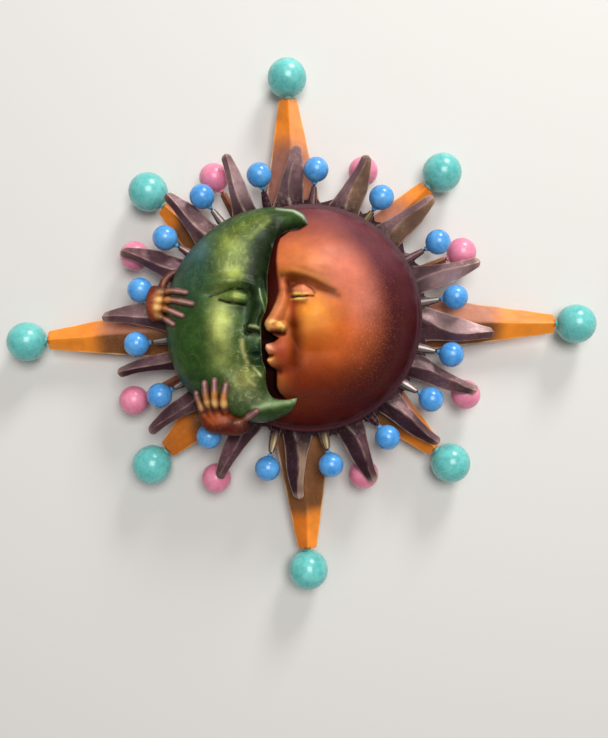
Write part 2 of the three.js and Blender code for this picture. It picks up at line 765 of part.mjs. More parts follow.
// Grid of points over the moon's front, grown by spread. The crest stands proud of the dome.
function moonRows(spread) {
  const rungCount = 62;
  const columnCount = 13;
  const rows = [];
  for (let rung = 0; rung <= rungCount; rung += 1) {
    const t = rung / rungCount;
    const outer = moonOuterCurve.getPoint(t);
    const inner = moonInnerCurve.getPoint(t);
    const width = outer.distanceTo(inner);
    const outward = outer.clone().sub(inner).normalize().multiplyScalar(spread);
    outer.add(outward);
    inner.sub(outward);
    const crestShare = lerp(...moonCrests, t);
    const crest = outer.clone().lerp(inner, crestShare);
    const inFace = smoothstep(...moonFaceWidths, width);
    const thickness = moonThickness * smoothstep(0, moonHornWidth, width) + moonFaceThickness * inFace;
    const outerRise = Math.max(reliefBack + moonEdgeRise, sunSurface(outer.x, outer.y) + moonLip);
    const innerRise = sunSurface(inner.x, inner.y) + moonLip;
    const crestRise = Math.max(sunSurface(crest.x, crest.y), outerRise) + thickness;
    const atPoint = width < 0.01;
    const row = [];
    for (let column = columnCount; column >= 0; column -= 1) {
      const u = 0.5 - 0.5 * Math.cos((column / columnCount) * Math.PI);
      const [x, y] = [lerp(outer.x, inner.x, u), lerp(outer.y, inner.y, u)];
      const outside = u < crestShare;
      const away = outside ? (crestShare - u) / crestShare : (u - crestShare) / (1 - crestShare);
      const rounded = Math.sqrt(Math.max(0, 1 - away ** 2.4));
      const plain = lerp(outside ? outerRise : innerRise, crestRise, rounded);
      const features = featureRise(moonFeatures, x, y) * smoothstep(0, 0.4, rounded) * inFace;
      row.push([x, y, (atPoint ? outerRise : plain + features) + spread]);
    }
    rows.push(row);
  }
  return rows;
}

function moonCrescent() {
  const skin = solid(reliefGeometry(moonRows(0), reliefBack));
  return geometryOf(largestPiece(skin.subtract(sunSkin(gap))));
}

// Hands: fingers and a palm that lie on the moon, cut to its surface

function moonRiseAt(rows, x, y) {
  const away = ([px, py]) => Math.hypot(px - x, py - y);
  const nearest = rows.flat().reduce((best, point) => (away(point) < away(best) ? point : best));
  return nearest[2];
}

// A finger is round on top and has straight sides that reach down to the moon. It swells at the
// knuckles, lies on the moon from its second station on, and is rounded off at the tip.
function finger(rows, { tip, root }, rootRise) {
  const shares = [0, 0.3, 0.5, 0.8, 0.95, 1];
  const swells = [1, 1.1, 0.95, 1.05, 0.85, 0.4];
  const [dx, dy] = [tip[0] - root[0], tip[1] - root[1]];
  const length = Math.hypot(dx, dy);
  const [leftX, leftY] = [-dy / length, dx / length];
  return loftGeometry(shares.map((share, station) => {
    const [x, y] = [root[0] + dx * share, root[1] + dy * share];
    const half = lerp(fingerRootWidth, fingerTipWidth, share) * swells[station] / 2;
    const lying = moonRiseAt(rows, x, y) + fingerProud;
    const z = station === 0 ? rootRise : Math.max(lying, lerp(rootRise, lying, share));
    const ring = [[x + leftX * half, y + leftY * half, z - fingerDepth]];
    for (let turn = 0; turn <= Math.PI + 0.01; turn += Math.PI / 4) {
      const side = half * Math.cos(turn);
      ring.push([x + leftX * side, y + leftY * side, z + half * Math.sin(turn)]);
    }
    ring.push([x - leftX * half, y - leftY * half, z - fingerDepth]);
    return ring;
  }));
}

function hand({ fingers, ovals }) {
  const rows = moonRows(0);
  const pieces = fingers.map((entry) => solid(finger(rows, entry, reliefBack + ovals[0].rise)));
  for (const { x, y, halfWidth, halfHeight, rise } of ovals) {
    const palm = new THREE.SphereGeometry(1, 12, 8)
      .scale(halfWidth, halfHeight, palmThickness / 2)
      .translate(x, y, reliefBack + rise);
    pieces.push(solid(palm));
  }
  const cleared = joined(pieces)
    .subtract(solid(reliefGeometry(moonRows(gap), reliefBack - gap)))
    .subtract(sunSkin(gap));
  return geometryOf(largestPiece(cleared));
}

// The group, stood upright with its front towards -Y

const hanging = new THREE.Group();
hanging.rotation.x = Math.PI / 2;

function place(name, geometry, material) {
  const mesh = new THREE.Mesh(geometry, material);
  mesh.name = name;
  hanging.add(mesh);
  return mesh;
}

place("back_board", backBoard(), paint(0xb58a58, 0.8));
place("hanger_strap", hangerStrap(), steel);
place("hanging_ring", hangingRing(), steel);
place("hanger_screw_upper", hangerScrew(screwSetback[0]), steel);
place("hanger_screw_lower", hangerScrew(screwSetback[1]), steel);
place("flame_ring", flameRing(), plumPaint);
place("sun_shell", sunShell(), paint(0xc86a34, 0.4));
place("moon_crescent", moonCrescent(), paint(0x4d6b2c, 0.35, 0.3));
place("hand_upper", hand(upperHand), paint(0x8a4a2a, 0.45));
place("hand_lower", hand(lowerHand), paint(0x8a4a2a, 0.45));

const turquoisePaint = paint(0x5fb3a8, 0.35);
const pinkPaint = paint(0xdf8ba0, 0.35);
const bluePaint = paint(0x3f86c8, 0.3);

for (const [side, { angle, reach, long }] of Object.entries(orangeRays)) {
  const ray = place(`orange_ray_${side}`, orangeRay(angle, reach, long), orangePaint);
  ray.rotation.z = radians(angle - 90);
  const node = place(`turquoise_ball_${side}`, ball(turquoiseDiameter, 11), turquoisePaint);
  placeOutward(node, angle, reach, ballRise);
}

thinRays.forEach(({ angle, reach }, number) => {
  const ray = place(`thin_ray_${number + 1}`, thinRay(angle, reach), plumPaint);
  ray.rotation.z = radians(angle - 90);
  const node = place(`pink_ball_${number + 1}`, ball(pinkDiameter, 10), pinkPaint);
  placeOutward(node, angle, reach, ballRise);
});

prongs.forEach((entry, number) => {
  const node = place(`blue_ball_${number + 1}`, ball(blueDiameter, 9), bluePaint);
  placeOutward(node, entry.angle, entry.reach, blueBallRise, prongLine(entry).slope);
});

export default hanging;
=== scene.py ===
# Sun and moon wall hanging: a domed papier-mache sun and a crescent moon that kiss, on a ring of
# cast flames, with painted rays and turned balls around it, hung flat on a wall.
import math
import bpy
import numpy as np
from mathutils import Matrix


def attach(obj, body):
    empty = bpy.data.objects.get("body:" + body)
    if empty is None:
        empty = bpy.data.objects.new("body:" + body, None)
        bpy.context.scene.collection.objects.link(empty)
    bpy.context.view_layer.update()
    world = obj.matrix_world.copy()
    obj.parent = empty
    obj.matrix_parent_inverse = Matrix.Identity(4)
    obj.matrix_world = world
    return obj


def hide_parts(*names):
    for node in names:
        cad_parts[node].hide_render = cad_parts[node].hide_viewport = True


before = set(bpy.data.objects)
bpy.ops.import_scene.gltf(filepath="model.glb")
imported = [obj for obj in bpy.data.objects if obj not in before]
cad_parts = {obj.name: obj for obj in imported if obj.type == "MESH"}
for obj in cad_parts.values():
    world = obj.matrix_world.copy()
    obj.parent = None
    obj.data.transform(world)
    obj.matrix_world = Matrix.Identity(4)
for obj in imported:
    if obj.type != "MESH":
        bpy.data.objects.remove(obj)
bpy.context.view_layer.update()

# View
# The hanging is seen straight on, from a little below its middle, at arm's length.
front_view = bpy.data.objects.new("front_view", bpy.data.cameras.new("front_view"))
front_view.data.sensor_width = 36
front_view.data.lens = 39.02
front_view.location = (0.0061, -0.842, -0.0469)
front_view.rotation_euler = (math.radians(90), 0, 0)
bpy.context.scene.collection.objects.link(front_view)
bpy.context.scene.camera = front_view
bpy.context.scene.view_settings.view_transform = "Standard"

# Back board
# An oval of sanded five-ply, sawn out and eased at its edges, with a pocket routed in its back
# for the hanging ring. The rays are glued over its front.
board_half = (100, 94)
board_thick = 15
board_ease = 0.8
pocket = {"wide": 44, "tall": 60, "deep": 8, "rise": 52}


def linear(colour):
    """A paint colour from 0-255 as mixed to the light it reflects."""
    shade = np.asarray(colour, float) / 255
    return np.where(shade <= 0.04045, shade / 12.92, ((shade + 0.055) / 1.055) ** 2.4)


def stood_up(points):
    """Points measured on the bench in mm (right, up the wall, out of the wall) as they hang, in m."""
    points = np.asarray(points, float).reshape(-1, 3)
    return np.stack([points[:, 0], -points[:, 2], points[:, 1]], axis=1) / 1000


def piece_from(name, points, faces, materials, body="root", stands_for=(), crisp=40,
               colour=None, rub=None, face_material=None):
    """One made piece: its mesh hung on the wall, its paint, and what it rides on and stands for."""
    mesh = bpy.data.meshes.new(name)
    mesh.from_pydata(stood_up(points).tolist(), [], [list(face) for face in faces])
    for material in materials:
        mesh.materials.append(material)
    if face_material is not None:
        mesh.polygons.foreach_set("material_index", np.asarray(face_material, dtype=np.int32))
    if colour is not None:
        coat = mesh.attributes.new("coat", "FLOAT_COLOR", "POINT")
        coat.data.foreach_set("color", np.column_stack([colour, np.ones(len(colour))]).ravel())
    if rub is not None:
        rubbed = mesh.attributes.new("rub", "FLOAT", "POINT")
        rubbed.data.foreach_set("value", np.asarray(rub, float).ravel())
    mesh.validate()
    mesh.shade_smooth()
    mesh.set_sharp_from_angle(angle=math.radians(crisp))
    piece = bpy.data.objects.new(name, mesh)
    bpy.context.scene.collection.objects.link(piece)
    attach(piece, body)
    if stands_for:
        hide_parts(*stands_for)
    return piece


def rings_faces(rings, around, first=0, caps=True):
    """Faces of a skin through rings of points that follow each other, closed off at both ends."""
    faces = []
    for ring in range(rings - 1):
        low = first + ring * around
        for side in range(around):
            after = (side + 1) % around
            faces.append((low + side, low + after, low + around + after, low + around + side))
    if caps:
        faces.append(tuple(first + side for side in reversed(range(around))))
        faces.append(tuple(first + (rings - 1) * around + side for side in range(around)))
    return faces


def carved(piece, cutter):
    """Cuts the cutter's shape out of a piece for good, and throws the cutter away."""
    cut = piece.modifiers.new("cut", "BOOLEAN")
    cut.operation = "DIFFERENCE"
    cut.solver = "EXACT"
    cut.object = cutter
    bpy.context.view_layer.update()
    whole = piece.evaluated_get(bpy.context.evaluated_depsgraph_get())
    mesh = bpy.data.meshes.new_from_object(whole)
    piece.modifiers.clear()
    piece.data = mesh
    mesh.set_sharp_from_angle(angle=math.radians(40))
    bpy.data.objects.remove(cutter, do_unlink=True)


def block(name, low, high, round_by=0.0, corners=1):
    """An upright-sided cutting block between two corners, with round corners seen from the front."""
    outline = []
    for quarter, (right, top) in enumerate(((1, 1), (0, 1), (0, 0), (1, 0))):
        middle_x = high[0] - round_by if right else low[0] + round_by
        middle_y = high[1] - round_by if top else low[1] + round_by
        for step in range(corners):
            turn = math.radians(90 * quarter + (90 * step / (corners - 1) if corners > 1 else 45))
            outline.append((middle_x + round_by * math.cos(turn), middle_y + round_by * math.sin(turn)))
    points = [(x, y, z) for z in (low[2], high[2]) for x, y in outline]
    mesh = bpy.data.meshes.new(name)
    mesh.from_pydata(stood_up(points).tolist(), [], rings_faces(2, len(outline)))
    cutter = bpy.data.objects.new(name, mesh)
    bpy.context.scene.collection.objects.link(cutter)
    return cutter


def finish(name):
    """A new material, its node tree and the shader that its layers feed."""
    material = bpy.data.materials.new(name)
    material.use_nodes = True
    return material, material.node_tree, material.node_tree.nodes["Principled BSDF"]


def feed(node, *feeds, **settings):
    """Gives a node its settings, and each socket its value or the output it is wired to. The sockets
    are named, or taken in their order."""
    sockets = list(zip(node.inputs, feeds))
    for name, value in settings.items():
        if hasattr(node, name):
            setattr(node, name, value)
        else:
            sockets.append((node.inputs[name.replace("_", " ")], value))
    for socket, value in sockets:
        if isinstance(value, bpy.types.NodeSocket):
            node.id_data.links.new(value, socket)
        else:
            socket.default_value = value


def layer(tree, kind, out, *feeds, **settings):
    """One layer of a finish, fed by the ones under it. Gives its output of that name."""
    node = tree.nodes.new(f"ShaderNode{kind}")
    node.location = (200 * (len(tree.nodes) - 14), 320 - 160 * (len(tree.nodes) % 4))
    feed(node, *feeds, **settings)
    return node.outputs[out]


def blend(tree, share, low, high, start=0.0, end=1.0):
    """A paint that goes from low at the start share to high at the end share."""
    ramp = tree.nodes.new("ShaderNodeValToRGB")
    for stop, paint, place in zip(ramp.color_ramp.elements, (low, high), (start, end)):
        stop.color = (*linear(paint), 1)
        stop.position = place
    feed(ramp, share)
    return ramp.outputs["Color"]


def plywood(name, edge):
    """Bare birch ply: rotary-cut veneer on the faces, its five layers in stripes on the edge."""
    material, tree, shader = finish(name)
    place = layer(tree, "TexCoord", "Object")
    stretched = layer(tree, "Mapping", "Vector", Vector=place, Scale=(20, 200, 20) if edge else (6, 6, 90))
    grain = layer(tree, "TexNoise", "Fac", Vector=stretched, Scale=4.0, Detail=6.0, Roughness=0.6,
                  Distortion=0.6)
    if edge:
        plies = layer(tree, "TexWave", "Fac", wave_type="BANDS", bands_direction="Y", Vector=place,
                      Scale=52.4, Distortion=0.6, Detail=2.0)
        colour = blend(tree, plies, (120, 82, 50), (206, 170, 122), 0.3, 0.62)
    else:
        colour = blend(tree, grain, (176, 132, 84), (222, 188, 140), 0.3, 0.62)
    feed(shader, Base_Color=colour, Roughness=0.75,
         Normal=layer(tree, "Bump", "Normal", Height=grain, Strength=0.25, Distance=0.0004))
    return material


board_turns = np.radians(np.arange(0, 360, 2.5))
round_board = np.column_stack([np.cos(board_turns), np.sin(board_turns)])
board_corner = board_ease * 0.3
board_edge = [
    (board_ease, 0), (board_corner, board_corner), (0, board_ease), (0, board_thick / 2),
    (0, board_thick - board_ease), (board_corner, board_thick - board_corner), (board_ease, board_thick),
]
board_points = np.concatenate([
    np.column_stack([round_board * (np.array(board_half) - inset), np.full(len(round_board), height)])
    for inset, height in board_edge
])
board_faces = rings_faces(len(board_edge), len(round_board))
edge_ply = [1] * (len(board_faces) - 2) + [0, 0]
board = piece_from("board", board_points, board_faces,
                   [plywood("ply_face", False), plywood("ply_edge", True)],
                   stands_for=["back_board"], face_material=edge_ply)
half_wide, half_tall = pocket["wide"] / 2, pocket["tall"] / 2
carved(board, block("pocket_cutter", (-half_wide, pocket["rise"] - half_tall, -3),
                    (half_wide, pocket["rise"] + half_tall, pocket["deep"]), 3.0, 7))

# Hanger
# A zinc-plated ring strap: a wire ring with one straight side, held in the eye of a folded strip
# that two slotted round-head screws fix to the floor of the pocket. The ring swings on the strip.
ring_wire = 2.6
ring_rise, ring_height = 56, 4.8
ring_inner, ring_length = 15, 18
strap = {"wide": 11, "thick": 1.2, "long": 27, "floor": 7.7, "eye": 0.4}
screw = {"head": 5.6, "high": 1.6, "shank": 2.8, "back": 4.6, "long": 9.4, "slot": 0.8, "setbacks": (7, 23)}


def zinc():
    """Bright zinc plate, a little cloudy, with fine rubbing marks."""
    material, tree, shader = finish("zinc_plate")
    place = layer(tree, "TexCoord", "Object")
    cloud = layer(tree, "TexNoise", "Fac", Vector=place, Scale=350.0, Detail=4.0)
    marks = layer(tree, "TexNoise", "Fac", Vector=place, Scale=2400.0, Detail=3.0)
    feed(shader, Base_Color=blend(tree, cloud, (150, 150, 146), (214, 214, 208)), Metallic=1.0,
         Roughness=layer(tree, "MapRange", "Result", Value=cloud, To_Min=0.22, To_Max=0.5),
         Normal=layer(tree, "Bump", "Normal", Height=marks, Strength=0.2, Distance=0.0001))
    return material


zinc_plate = zinc()


def rod_along(route, radius, sides=20):
    """Rings of a round wire along a route that lies in one plane facing the wall."""
    route = np.asarray(route, float)
    ahead = np.gradient(route, axis=0)
    ahead /= np.linalg.norm(ahead, axis=1)[:, None]
    out = np.array([0.0, 0.0, 1.0])
    across = np.cross(ahead, out)
    across /= np.linalg.norm(across, axis=1)[:, None]
    around = np.radians(np.arange(sides) * 360 / sides)
    rings = route[:, None] + radius * (across[:, None] * np.cos(around)[None, :, None]
                                       + out * np.sin(around)[None, :, None])
    return rings.reshape(-1, 3), rings_faces(len(route), sides)


ring_half = (ring_inner + ring_wire) / 2
ring_bend = ring_half * 0.7
ring_straight = ring_length - ring_bend
bow = [(-ring_half, 0)] + [(-ring_half, -ring_straight * step / 6) for step in range(1, 7)]
for corners in (((-ring_half, -ring_straight), (-ring_half, -ring_length), (0, -ring_length)),
                ((0, -ring_length), (ring_half, -ring_length), (ring_half, -ring_straight))):
    for way in (step / 12 for step in range(1, 13)):
        bow.append(tuple(first * (1 - way) ** 2 + 2 * corner * way * (1 - way) + last * way * way
                         for first, corner, last in zip(*corners)))
bow += [(ring_half, -ring_straight * (1 - step / 6)) for step in range(1, 7)]
bow_points, bow_faces = rod_along([(x, ring_rise + y, ring_height) for x, y in bow], ring_wire / 2)
bar_end = ring_half + ring_wire / 2
bar_points, bar_faces = rod_along([(x, ring_rise, ring_height) for x in np.linspace(-bar_end, bar_end, 9)],
                                  ring_wire / 2)
piece_from("hanging_loop", np.concatenate([bow_points, bar_points]),
           bow_faces + [tuple(i + len(bow_points) for i in face) for face in bar_faces],
           [zinc_plate], body="ring", stands_for=["hanging_ring"])

eye_in = ring_wire / 2 + strap["eye"]
eye_out = eye_in + strap["thick"]
strap_end, strap_front = ring_rise - strap["long"], strap["floor"] - strap["thick"]
top_turn = 2.5 * math.pi
outside_turns = np.linspace(math.pi - math.asin((strap_front - ring_height) / eye_out), top_turn, 34)
inside_turns = np.linspace(top_turn, math.pi + 0.5, 30)
strap_side = [(strap_end, strap_front)]
for reach, fold_turns in ((eye_out, outside_turns), (eye_in, inside_turns)):
    strap_side += [(ring_rise + reach * math.cos(turn), ring_height + reach * math.sin(turn))
                   for turn in fold_turns]
strap_side += [(strap_end, strap["floor"])]
strap_half = strap["wide"] / 2
strap_rows = (-strap_half, -strap_half + 0.25, strap_half - 0.25, strap_half)
piece_from("strap", [(x, *place) for x in strap_rows for place in strap_side],
           rings_faces(len(strap_rows), len(strap_side)), [zinc_plate], stands_for=["hanger_strap"],
           crisp=35)

screw_head, screw_shank = screw["head"] / 2, screw["shank"] / 2
screw_side = [(0.02, 0), (screw_head * 0.45, 0.04), (screw_head * 0.72, 0.2), (screw_head * 0.92, 0.6),
              (screw_head, 1.1), (screw_head, screw["high"]), (screw_shank, screw["high"])]
screw_side += [(screw_shank * (1.0 if step % 2 else 0.78), screw["high"] + 0.35 + 0.4 * step)
               for step in range(12)]
screw_side += [(0.05, screw["long"])]
screw_turns = np.radians(np.arange(0, 360, 12))
for place, setback in zip(("upper", "lower"), screw["setbacks"]):
    level = ring_rise - setback
    points = [(radius * math.cos(turn), level + radius * math.sin(turn), screw["back"] + depth)
              for radius, depth in screw_side for turn in screw_turns]
    driven = piece_from(f"screw_{place}", points, rings_faces(len(screw_side), len(screw_turns)),
                        [zinc_plate], stands_for=[f"hanger_screw_{place}"], crisp=35)
    carved(driven, block("slot_cutter", (-4, level - screw["slot"] / 2, screw["back"] - 1),
                         (4, level + screw["slot"] / 2, screw["back"] + screw["slot"])))

# Orange rays
# Eight rays cast in hard composite with a ridge down the middle, glued to the board by their tangs. They are
# sprayed plum at the root and orange at the end, and their arrises are worn pale. The facet that faces the
# light is painted lighter than the other, as painted light and shade, and the end round each pin and the
# lower left ray's end are painted dark, as painted shade.
ray_height = {"back": 15.3, "side": 18.5, "ridge": 26.0}
ray_end_height = {"back": 15.5, "side": 20.5, "ridge": 29.5}
# How wide a ray is at its tang, neck and end, and at the shoulder of a long and of a short one
ray_tang, ray_neck, ray_end = 14, 20, 19
ray_shoulder_wide = {True: 60, False: 50}
# How far out the shoulder lies, how long the neck takes to widen to it, and how far the tang runs in
ray_shoulder, ray_flare, ray_overlap = 112, 14, 36
# How far the end stops short of the ball's seat and is eased, and how deep the casting's dents are
ray_short, ray_ease, ray_dent = 0.8, 0.5, 0.35
ball_height, ball_seat = 22.5, 1.5
pin_wide, pin_in_bar, pin_in_ball = 2.4, 2, 5
turquoise_wide, pink_wide, blue_wide = 40, 30, 25
# Each orange ray: its angle, how far out the middle of its ball is, and whether it is a long one
orange_rays = {
    "right": (359.9, 284.7, True), "upper_right": (46.3, 213.3, False), "top": (92.6, 251.4, True),
    "upper_left": (138.8, 204, False), "left": (183.9, 278.3, True), "lower_left": (224.1, 208.2, False),
    "bottom": (272.4, 252.7, True), "lower_right": (317.5, 211.9, False),
}


def oval_reach(half_wide, half_tall, angle):
    """How far an oval's edge lies from its middle at an angle."""
    turn = math.radians(angle)
    return 1 / math.hypot(math.cos(turn) / half_wide, math.sin(turn) / half_tall)


def eased(low, high, value):
    """0 below low, 1 above high, with a soft turn at both."""
    share = np.clip((np.asarray(value, float) - low) / (high - low), 0, 1)
    return share * share * (3 - 2 * share)


def mixed(one, other, share):
    """One paint sprayed over with another, by a share for each point."""
    share = np.asarray(share, float)[..., None]
    return np.asarray(one) * (1 - share) + np.asarray(other) * share


def turned(points, angle):
    """Points laid out along y, swung round the middle of the hanging to an angle."""
    turn = math.radians(angle - 90)
    x, y = points[..., 0], points[..., 1]
    return np.stack([x * math.cos(turn) - y * math.sin(turn), x * math.sin(turn) + y * math.cos(turn),
                     points[..., 2]], axis=-1)


def hand_wobble(points, reach):
    """The small unevenness of a hand-finished casting, the same on every run."""
    x, y, z = (points[..., axis] / reach for axis in range(3))
    return (np.sin(x * 2.1 + 1.3 * np.sin(y * 1.7)) * np.sin(y * 1.9 + 0.7 + 1.1 * np.sin(z * 2.3))
            + 0.5 * np.sin(x * 4.3 + y * 3.1 + z * 2.2))


def ridged(stations, across=11, crown=0.05):
    """A bar along y with two facets that meet in a ridge. Each station is (along, middle, half width,
    back, side, ridge, how far the ridge lies off the middle). Gives the points and the share across.
    The last six points of a row are its sides and back."""
    share = np.concatenate([np.linspace(-1, 0, across)[:-1], np.linspace(0, 1, across)])
    share = np.sign(share) * np.abs(share) ** 0.9
    rows = []
    for along, middle, half_width, back, side, ridge, off in stations:
        x = middle + half_width * share + off * (1 - np.abs(share))
        rise = (1 - np.sqrt(share ** 2 + crown ** 2)) / (1 - crown)
        z = side + (ridge - side) * np.clip(rise, -0.01, 1)
        front = np.column_stack([x, np.full(len(x), along), z])
        ease = min(0.8, 0.25 * (side - back))
        low = [(middle + half_width * 1.0, along, side - ease), (middle + half_width, along, back + ease),
               (middle + half_width - ease, along, back), (middle - half_width + ease, along, back),
               (middle - half_width, along, back + ease), (middle - half_width, along, side - ease)]
        rows.append(np.vstack([front, low]))
    shares = np.concatenate([share, [1, 1, 1, -1, -1, -1]])
    return np.array(rows), np.tile(shares, (len(rows), 1))


def on_front(rows):
    """Which points of a ridged bar's rows lie on its two facets."""
    return np.arange(rows.shape[1]) < rows.shape[1] - 6


def facing_light(angle, across):
    """True on the facet of a bar at that angle which faces up and to the right."""
    turn = math.radians(angle)
    return across * (0.55 * math.sin(turn) - 0.83 * math.cos(turn)) > 0


def cast_paint(name, flake, rough, varnish, grain=1.0, patch_size=420.0, flake_share=0.5, metal=0.0,
               shine=0.35, mottle=0.14, patch_edge=0.68):
    """Sprayed and rubbed paint under varnish. The coat and rub are laid on point by point; this adds
    the mottling, the patches of metallic paint rubbed on, and the fine tooth of the casting. The paint
    stays dull where nothing is rubbed on."""
    material, tree, shader = finish(name)
    place = layer(tree, "TexCoord", "Object")
    coat = layer(tree, "Attribute", "Color", attribute_name="coat")
    rubbed = layer(tree, "Attribute", "Fac", attribute_name="rub")
    cloud = layer(tree, "TexNoise", "Fac", Vector=place, Scale=70.0, Detail=5.0, Roughness=0.6)
    patches = layer(tree, "TexNoise", "Fac", Vector=place, Scale=patch_size, Detail=5.0, Roughness=0.7,
                    Distortion=0.8)
    tooth = layer(tree, "TexNoise", "Fac", Vector=place, Scale=1000.0, Detail=3.0, Roughness=0.65)
    tone = layer(tree, "MapRange", "Result", Value=cloud, From_Min=0.3, From_Max=0.7, To_Min=1 - mottle,
                 To_Max=1 + mottle)
    toned = layer(tree, "VectorMath", "Vector", coat, operation="SCALE", Scale=tone)
    fleck = layer(tree, "MapRange", "Result", Value=patches, From_Min=0.5, From_Max=patch_edge,
                  To_Max=flake_share)
    held = layer(tree, "Math", "Value", fleck, rubbed, operation="MULTIPLY")
    feed(shader, Metallic=metal, Coat_Weight=varnish, Coat_Roughness=0.28,
         Base_Color=layer(tree, "Mix", "Result", data_type="RGBA", Factor=held, A=toned,
                          B=(*linear(flake), 1)),
         Roughness=layer(tree, "MapRange", "Result", Value=tooth, To_Min=rough - 0.07,
                         To_Max=rough + 0.12),
         Specular_IOR_Level=layer(tree, "MapRange", "Result", Value=rubbed, From_Max=0.12, To_Max=shine),
         Normal=layer(tree, "Bump", "Normal", Height=tooth, Strength=0.22 * grain, Distance=0.0004))
    return material


def pin_steel():
    """Plain steel pins, browned by the varnish that ran onto them."""
    material, tree, shader = finish("pin_steel")
    cloud = layer(tree, "TexNoise", "Fac", Vector=layer(tree, "TexCoord", "Object"), Scale=500.0, Detail=3.0)
    feed(shader, Base_Color=blend(tree, cloud, (26, 20, 18), (74, 64, 56)), Metallic=0.8, Roughness=0.45)
    return material


def pin_points(end, height, sides=12):
    """A pin along y, from inside the end of its bar to inside the ball."""
    around = np.radians(np.arange(sides) * 360 / sides)
    ring = np.column_stack([pin_wide / 2 * np.cos(around), np.zeros(sides), pin_wide / 2 * np.sin(around)])
    return np.array([ring + (0, end - pin_in_bar, height), ring + (0, end + ball_seat + pin_in_ball, height)])


def drive_pin(name, points):
    """Drives one steel pin, that its bar and its ball are glued to."""
    piece_from(name, points.reshape(-1, 3), rings_faces(*points.shape[:2]), [brown_steel])


orange_paint = cast_paint("orange_ray_paint", (250, 190, 120), 0.46, 0.08, flake_share=0.25, shine=0.22)
brown_steel = pin_steel()
root_plum, low_brown, mid_mauve = linear((84, 50, 44)), linear((124, 76, 40)), linear((186, 120, 94))
ray_orange, ray_yellow, ray_deep = linear((255, 148, 42)), linear((242, 140, 52)), linear((204, 96, 18))
ray_peach, low_mauve = linear((238, 152, 86)), linear((150, 98, 84))
# Painted shade: a darker orange for the lower left ray's end, and a dark brown for the gap round each pin
ray_painted_shade, pin_gap_shade = linear((172, 90, 24)), linear((52, 26, 14))
worn_pale, worn_orange = linear((228, 196, 176)), linear((255, 206, 130))

# Between which distances from the middle each ray turns from its root colours to orange, in mm
turn_orange = {"right": (192, 214), "left": (190, 214), "top": (164, 200), "bottom": (184, 199),
               "upper_right": (147, 183), "upper_left": (148, 164), "lower_left": (138, 160),
               "lower_right": (136, 166)}
dark_rooted = ("bottom", "upper_left", "lower_left")

for side, (angle, reach, long) in orange_rays.items():
    end = reach - turquoise_wide / 2 - ball_seat - ray_short
    root = oval_reach(*board_half, angle) - ray_overlap
    marks = [root, ray_shoulder - ray_flare, ray_shoulder, end]
    along = np.concatenate([[root], np.linspace(marks[1], ray_shoulder, 8),
                            np.linspace(ray_shoulder, end - 0.6, 48)[1:], [end]])
    width = np.interp(along, marks, [ray_tang / 2, ray_neck / 2, ray_shoulder_wide[long] / 2, ray_end / 2])
    width[-1] -= ray_ease
    level = {part: np.interp(along, marks, [ray_height[part]] * 3 + [ray_end_height[part]])
             for part in ray_height}
    level["ridge"][-1] -= ray_ease
    rows, across = ridged(np.column_stack([along, 0 * along, width, *level.values(), 0 * along]))
    front = on_front(rows)
    rows[..., 2] -= np.where(front, ray_dent * np.abs(hand_wobble(rows + reach, 9.0)), 0)
    way = (rows[..., 1] - ray_shoulder) / (end - ray_shoulder)
    # Painted light and shade: the facet that faces the light gets the lighter paints, the other the darker
    # ones
    lit = facing_light(angle, across)
    shaded_root = mixed(root_plum, low_mauve if side == "top" else low_brown, eased(-0.2, 0.25, way))
    lit_root = mixed(low_brown, low_brown if side in dark_rooted else mid_mauve, eased(-0.2, 0.2, way))
    upright = abs(math.sin(math.radians(angle))) ** 2
    shaded_end = mixed(ray_orange, ray_deep, (0.3 if side == "top" else 0.6) * upright)
    lit_end = ray_peach if side == "top" else mixed(ray_yellow, ray_orange, 0.5 * upright)
    outer = mixed(shaded_end, lit_end, lit)
    # Painted shade: the lower left ray's end is darkened
    if side == "lower_left":
        outer = mixed(outer, ray_painted_shade, np.full(outer.shape[:-1], 0.65))
    coat = mixed(mixed(shaded_root, lit_root, lit), outer, eased(*turn_orange[side], rows[..., 1] - 4 * ~lit))
    breaks = 0.5 + 0.5 * np.sin(rows[..., 1] * 0.21 + 2 * across + reach)
    worn = eased(0.92, 1.0, np.abs(across)) * (0.4 + 0.5 * breaks) * front
    coat = mixed(coat, mixed(worn_pale, worn_orange, eased(0.3, 0.6, way)), np.clip(worn, 0, 1))
    # Painted shade at the ray's end, in the gap round its pin
    coat = mixed(coat, pin_gap_shade, 0.8 * eased(-1.6, 0, rows[..., 1] - end) * (np.abs(across) < 0.4))
    piece_from(f"ray_{side}", turned(rows, angle).reshape(-1, 3), rings_faces(*rows.shape[:2]),
               [orange_paint], stands_for=[f"orange_ray_{side}"], crisp=28,
               colour=coat.reshape(-1, 3), rub=(0.35 + 0.4 * worn).ravel())
    drive_pin(f"ray_pin_{side}", turned(pin_points(end, ball_height), angle))

# Thin rays
# Eight slender rays of the same casting, glued between the orange ones and painted plum like the
# flames in front of them. Each carries a pink ball.
# Each thin ray: its angle, and how far out the middle of its ball is
thin_rays = [(23.4, 182.4), (66.8, 169.1), (120.1, 171.9), (157.6, 180.7),
             (205.2, 185.8), (242.2, 179.2), (293.5, 168.4), (336.9, 186.4)]
thin_overlap, thin_tang, thin_shoulder, thin_end = 26, 8, 13, 7
thin_short, thin_ease = 2, 0.4
thin_end_height = {"back": 19.5, "side": 21.5, "ridge": 25.5}
plum_paint = cast_paint("plum_flame_paint", (206, 176, 160), 0.42, 0.12, grain=1.6, flake_share=0.42,
                        metal=0.3, shine=0.25, patch_size=260.0, mottle=0.22, patch_edge=0.74)
deep_plum = linear((66, 34, 42))
thin_brown, thin_orange = linear((104, 58, 44)), linear((176, 112, 76))

